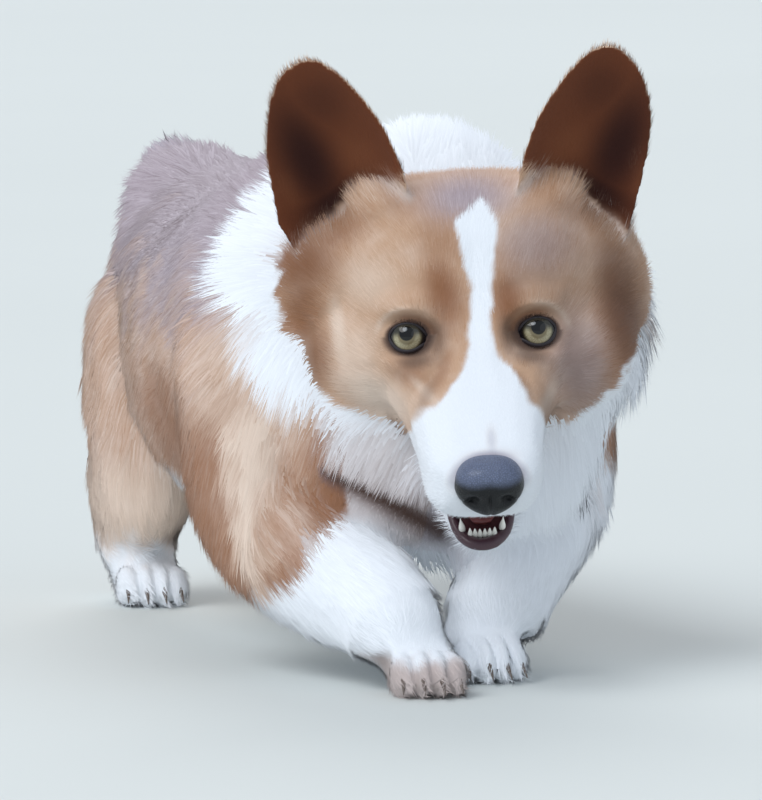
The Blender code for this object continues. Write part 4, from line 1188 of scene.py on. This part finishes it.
# %% Lid margins
lid_mat, tree, surface = new_material("lid_margin", Roughness=0.45, IOR=1.4, Coat_Weight=0.08, Coat_Roughness=0.3)
grain = add(tree, "TexNoise", {"Scale": 700.0, "Detail": 3.0})
tree.links.new(mixed(tree, grain.outputs["Fac"], linear("#1A161A"), linear("#332B31")), surface.inputs["Base Color"])
bump = add(tree, "Bump", {"Height": grain.outputs["Fac"], "Strength": 0.3, "Distance": 0.0003})
tree.links.new(bump.outputs["Normal"], surface.inputs["Normal"])


def tube(name, path, radii, normals_, material, sides=10, flat=0.7, closed=False):
    """A tube along a path, with its own half width at each point and flattened along the normals."""
    path, radii, normals_ = np.array(path, float), np.array(radii, float), unit(np.array(normals_, float))
    n = len(path)
    if closed:
        along = unit(np.roll(path, -1, axis=0) - np.roll(path, 1, axis=0))
    else:
        along = unit(np.gradient(path, axis=0))
    across = unit(np.cross(along, normals_))
    rise_ = np.cross(across, along)
    made = []
    for i in range(n):
        for k in range(sides):
            angle = 2 * math.pi * k / sides
            made.append(path[i] + across[i] * math.cos(angle) * radii[i] + rise_[i] * math.sin(angle) * radii[i] * flat)
    faces = []
    for i in range(n if closed else n - 1):
        j = (i + 1) % n
        for k in range(sides):
            m = (k + 1) % sides
            faces.append((i * sides + k, i * sides + m, j * sides + m, j * sides + k))
    if not closed:
        faces.append(tuple(range(sides))[::-1])
        faces.append(tuple((n - 1) * sides + k for k in range(sides)))
    mesh = mesh_of(name, made, faces)
    shape = bmesh.new()
    shape.from_mesh(mesh)
    bmesh.ops.recalc_face_normals(shape, faces=shape.faces[:])
    shape.to_mesh(mesh)
    shape.free()
    piece = place(name, mesh, material)
    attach(piece, "root")
    return piece


for side, word in ((-1, "right"), (1, "left")):
    centre, gaze, out, up = eyes[side]
    path, radii, facing_ = [], [], []
    for k in range(64):
        phi = 2 * math.pi * k / 64
        inward = max(0.0, -math.cos(phi)) ** 6
        a = OPENING_HALF_WIDTH * math.cos(phi) * (1 + 0.20 * inward)
        half_height = OPENING_ABOVE if math.sin(phi) > 0 else OPENING_BELOW
        b = half_height * math.sin(phi) * (1 - 0.25 * abs(math.cos(phi)) ** 4) - 2.2 * MM * inward
        flat = out * a + up * b
        reach = math.hypot(a, b)
        h = math.sqrt(max(EYE_RADIUS ** 2 - reach ** 2, 0)) + 0.35 * MM
        path.append(centre + flat + gaze * h)
        facing_.append(flat * 0.6 + gaze * h)
        radii.append((0.78 - 0.24 * math.sin(phi) + 0.4 * inward) * MM)
    rim = tube("lid_margin_" + word, path, radii, facing_, lid_mat, flat=0.62, closed=True)

# %% [markdown]
# ## Nose leather
# The pad is broad on top and narrows below, with a comma-shaped nostril on each side that
# opens outwards, a groove down its middle, and skin in fine pebbles.

# %% Nose
made, faces = [], []
ROWS_, COLS = 72, 96
for i in range(ROWS_ + 1):
    theta = math.pi * i / ROWS_
    for k in range(COLS):
        phi = 2 * math.pi * k / COLS
        made.append((math.sin(theta) * math.cos(phi), -math.cos(theta), math.sin(theta) * math.sin(phi)))
made = np.array(made)
x, y, z = made.T
square = (np.abs(x) ** 2.6 + np.abs(z) ** 2.6 + np.abs(y) ** 2.4) ** (-1 / 2.5)
x, y, z = x * square, y * square, z * square
x = x * (1 - 0.30 * np.clip(-z, 0, 1) ** 1.3) * (1 - 0.05 * np.clip(z, 0, 1))
z = z * (1 + 0.10 * bell(x, 0.3) * (z < 0))
front = np.clip(-y, 0, 1)
wing = np.hypot((np.abs(x) - 0.47) / 0.16, (z + 0.20) / 0.18)
slit = np.abs(z + 0.20 + 1.1 * (np.abs(x) - 0.50) ** 2 + 0.35 * (np.abs(x) - 0.5)) / 0.07
slit = bell(slit, 1) * smooth_step(0.45, 0.60, np.abs(x)) * smooth_step(1.0, 0.85, np.abs(x))
dent = 0.30 * bell(wing, 1.0) + 0.16 * slit + 0.08 * bell(x, 0.05) * smooth_step(0.35, -0.1, z)
swell_ = 0.07 * bell(np.hypot((np.abs(x) - 0.42) / 0.28, (z - 0.22) / 0.22), 1)
y = y + (dent - swell_) * (front > 0.05) * smooth_step(0.05, 0.4, front)
# how far up on the pad a point lies, for the painted reflection on its top
on_top = smooth_step(0.30, 0.66, z + 0.10 * np.abs(x))
made = np.stack([x, y, z], axis=1) * NOSE_HALF
tilt_back = np.array(Matrix.Rotation(math.radians(-6), 3, "X"))
made = from_head(made @ tilt_back.T + NOSE_AT)
for i in range(ROWS_):
    for k in range(COLS):
        m = (k + 1) % COLS
        faces.append((i * COLS + k, i * COLS + m, (i + 1) * COLS + m, (i + 1) * COLS + k))
nose_mat, tree, surface = new_material("nose_leather", Roughness=0.40, IOR=1.42, Coat_Weight=0.22, Coat_Roughness=0.22,
                                       Specular_IOR_Level=0.35)
at = add(tree, "TexCoord").outputs["Object"]
cells = add(tree, "TexVoronoi", {"Vector": at, "Scale": 1100.0}, feature="DISTANCE_TO_EDGE")
pebble = add(tree, "MapRange", {"Value": cells.outputs["Distance"], "From Min": 0.0, "From Max": 0.25})
mottle = add(tree, "TexNoise", {"Vector": at, "Scale": 260.0, "Detail": 3.0})
dark = mixed(tree, mottle.outputs["Fac"], linear("#07090B"), linear("#101418"))
# painted reflection: the top of the pad is painted pale blue-grey, standing in for the sky's sheen on the wet leather
painted_sky_sheen = add(tree, "Attribute", attribute_name="on_top").outputs["Fac"]
dark = mixed(tree, painted_sky_sheen, dark, linear("#66708A"))
# painted shade: the cracks between the pebbles are painted darker than the pebbles' tops
tree.links.new(mixed(tree, pebble.outputs[0], mixed(tree, 0.45, dark, linear("#0B0C0E")), dark), surface.inputs["Base Color"])
bump = add(tree, "Bump", {"Height": pebble.outputs[0], "Strength": 0.45, "Distance": 0.0004})
tree.links.new(bump.outputs["Normal"], surface.inputs["Normal"])
mesh = mesh_of("nose_pad", made, faces)
mesh.attributes.new("on_top", "FLOAT", "POINT").data.foreach_set("value", np.clip(on_top, 0, 1).astype(np.float32))
shape = bmesh.new()
shape.from_mesh(mesh)
bmesh.ops.remove_doubles(shape, verts=shape.verts[:], dist=1e-5)
bmesh.ops.recalc_face_normals(shape, faces=shape.faces[:])
shape.to_mesh(mesh)
shape.free()
nose = place("nose_pad", mesh, nose_mat)
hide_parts("nose")
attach(nose, "root")

# %% [markdown]
# ## Mouth
# The jaw hangs a little open. Bare dark lips run along both edges, the gums behind them carry
# six small incisors between two canines, and the tongue lies low between the teeth.

# %% Lips
def skin_tree(part):
    """The faces of the skin that belong to one part."""
    owned = weights[:, PARTS.index(part)] > 0.4
    return BVHTree.FromPolygons(points.tolist(), [tuple(p.vertices) for p in skin.data.polygons if owned[p.vertices[0]]])


def on_skin(local_points, part, off):
    """Points of the head's frame dropped onto a part's skin, this far off it, with its normals."""
    found, facing_ = [], []
    tree_ = skin_tree(part)
    for p in from_head(local_points).tolist():
        place__, normal_, _, _ = tree_.find_nearest(p)
        found.append(np.array(place__) + np.array(normal_) * off)
        facing_.append(np.array(normal_))
    return np.array(found), np.array(facing_)


lip_mat, tree, surface = new_material("lip", Roughness=0.30, IOR=1.4, Coat_Weight=0.4, Coat_Roughness=0.18)
grain = add(tree, "TexNoise", {"Scale": 350.0, "Detail": 4.0})
tree.links.new(mixed(tree, grain.outputs["Fac"], linear("#2E1D25"), linear("#5A3B45")), surface.inputs["Base Color"])
bump = add(tree, "Bump", {"Height": grain.outputs["Fac"], "Strength": 0.3, "Distance": 0.0005})
tree.links.new(bump.outputs["Normal"], surface.inputs["Normal"])


def lip_path(rows, count=60):
    rows = np.array(rows)
    t = np.linspace(0, len(rows) - 1, count)
    base = np.stack([np.interp(t, np.arange(len(rows)), rows[:, k]) for k in range(3)], axis=1)
    for _ in range(4):
        base[1:-1] = (base[:-2] + base[1:-1] * 2 + base[2:]) / 4
    return base


upper = [(-x_, y_, z_) for x_, y_, z_ in UPPER_LIP[:-1]] + list(UPPER_LIP[::-1])
path, facing_ = on_skin(lip_path(upper), "muzzle", 0.0)
lip = tube("lip_upper", path, 0.7 * MM + 0.4 * MM * np.abs(np.linspace(-1, 1, len(path))), facing_, lip_mat, flat=0.6)
lower = [(-x_, y_, z_) for x_, y_, z_ in LOWER_LIP[:-1]] + list(LOWER_LIP[::-1])
path, facing_ = on_skin(lip_path(lower), "jaw", 0.2 * MM)
across = np.abs(np.linspace(-1, 1, len(path)))
lip = tube("lip_lower", path, (1.2 + 1.9 * smooth_step(0.75, 0.15, across)) * MM, facing_, lip_mat, flat=0.75)

# %% Teeth
tooth_mat, tree, surface = new_material("tooth_enamel", Roughness=0.22, IOR=1.6, Coat_Weight=0.3, Coat_Roughness=0.1)
grain = add(tree, "TexNoise", {"Scale": 300.0, "Detail": 2.0})
tree.links.new(mixed(tree, grain.outputs["Fac"], linear("#E3E0D6"), linear("#F6F5F0")), surface.inputs["Base Color"])


def tooth(foot, tip, half_width, half_depth, blunt):
    """A tooth from foot to tip: oval in section, waisted at the gum, rounded or pointed at its tip."""
    foot, tip = np.array(foot), np.array(tip)
    along = unit(tip - foot)
    side_ = unit(np.cross(along, (0, 1, 0)))
    deep = np.cross(side_, along)
    height = np.linalg.norm(tip - foot)
    made, faces = [], []
    levels = 8
    for i in range(levels + 1):
        t = i / levels
        shrink = (1 - t ** 2.2) ** 0.6 if blunt else (1 - t ** 1.3) ** 0.9
        shrink = max(shrink, 0.06) * (0.85 + 0.3 * math.sin(math.pi * min(t * 1.4, 1)))
        for k in range(12):
            angle = 2 * math.pi * k / 12
            made.append(foot + along * height * t + side_ * half_width * shrink * math.cos(angle)
                        + deep * half_depth * shrink * math.sin(angle))
    for i in range(levels):
        for k in range(12):
            m = (k + 1) % 12
            faces.append((i * 12 + k, i * 12 + m, (i + 1) * 12 + m, (i + 1) * 12 + k))
    faces.append(tuple(range(12))[::-1])
    faces.append(tuple(levels * 12 + k for k in range(12)))
    return made, faces


all_made, all_faces = [], []


def add_tooth(*how):
    made, faces = tooth(*how)
    start = len(all_made)
    all_made.extend(made)
    all_faces.extend([tuple(start + v_ for v_ in f) for f in faces])


for k in range(6):
    across = (k - 2.5) * 2.1 * MM
    back = -0.0680 + 7.5 * across ** 2
    tall = (5.0 if k in (2, 3) else 5.2 if k in (1, 4) else 5.5) * MM
    add_tooth((across, back, -0.0612), (across * 1.06, back - 1.0 * MM, -0.0606 + tall), 1.12 * MM, 1.0 * MM, True)
for side in (-1, 1):
    add_tooth((side * 0.0088, -0.0645, -0.0600), (side * 0.0096, -0.0660, -0.0515), 1.6 * MM, 1.8 * MM, False)
mesh = mesh_of("lower_teeth", from_head(np.array(all_made)), all_faces)
shape = bmesh.new()
shape.from_mesh(mesh)
bmesh.ops.recalc_face_normals(shape, faces=shape.faces[:])
shape.to_mesh(mesh)
shape.free()
teeth = place("lower_teeth", mesh, tooth_mat)
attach(teeth, "root")

# %% Tongue
tongue_mat, tree, surface = new_material("tongue_flesh", Roughness=0.35, IOR=1.4, Coat_Weight=0.5, Coat_Roughness=0.15,
                                         Subsurface_Weight=0.1, Subsurface_Scale=0.002)
grain = add(tree, "TexNoise", {"Scale": 500.0, "Detail": 3.0})
tree.links.new(mixed(tree, grain.outputs["Fac"], linear("#6E3438"), linear("#96524F")), surface.inputs["Base Color"])
bump = add(tree, "Bump", {"Height": grain.outputs["Fac"], "Strength": 0.5, "Distance": 0.0005})
tree.links.new(bump.outputs["Normal"], surface.inputs["Normal"])
rows = [(-0.0200, -0.0465, 0.005, 0.0010), (-0.0300, -0.0480, 0.0095, 0.0016), (-0.0400, -0.0502, 0.0105, 0.0019),
        (-0.0490, -0.0530, 0.0095, 0.0018), (-0.0570, -0.0560, 0.0078, 0.0015), (-0.0620, -0.0580, 0.0040, 0.0010)]
made, faces = [], []
fine_rows = lip_path([(y_, z_, w_) for y_, z_, w_, _ in rows], 24)
thick = np.interp(np.linspace(0, 5, 24), range(6), [r[3] for r in rows])
for (y_, z_, w_), t_ in zip(fine_rows, thick):
    for k in range(24):
        angle = 2 * math.pi * k / 24
        groove = 0.5 * MM * math.exp(-(math.cos(angle) / 0.18) ** 2) * (math.sin(angle) > 0)
        made.append((w_ * math.cos(angle), y_, z_ + t_ * math.sin(angle) - groove + 0.8 * MM * math.cos(angle) ** 2))
for i in range(23):
    for k in range(24):
        m = (k + 1) % 24
        faces.append((i * 24 + k, i * 24 + m, (i + 1) * 24 + m, (i + 1) * 24 + k))
faces.append(tuple(range(24))[::-1])
faces.append(tuple(23 * 24 + k for k in range(24)))
mesh = mesh_of("tongue_flesh", from_head(np.array(made)), faces)
shape = bmesh.new()
shape.from_mesh(mesh)
bmesh.ops.recalc_face_normals(shape, faces=shape.faces[:])
shape.to_mesh(mesh)
shape.free()
tongue = place("tongue_flesh", mesh, tongue_mat)
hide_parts("tongue")
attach(tongue, "root")
print("mouth made")


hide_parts(*[n for n in flesh_names if not n.startswith("eye_") and n != "nose"])
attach(skin, "root")
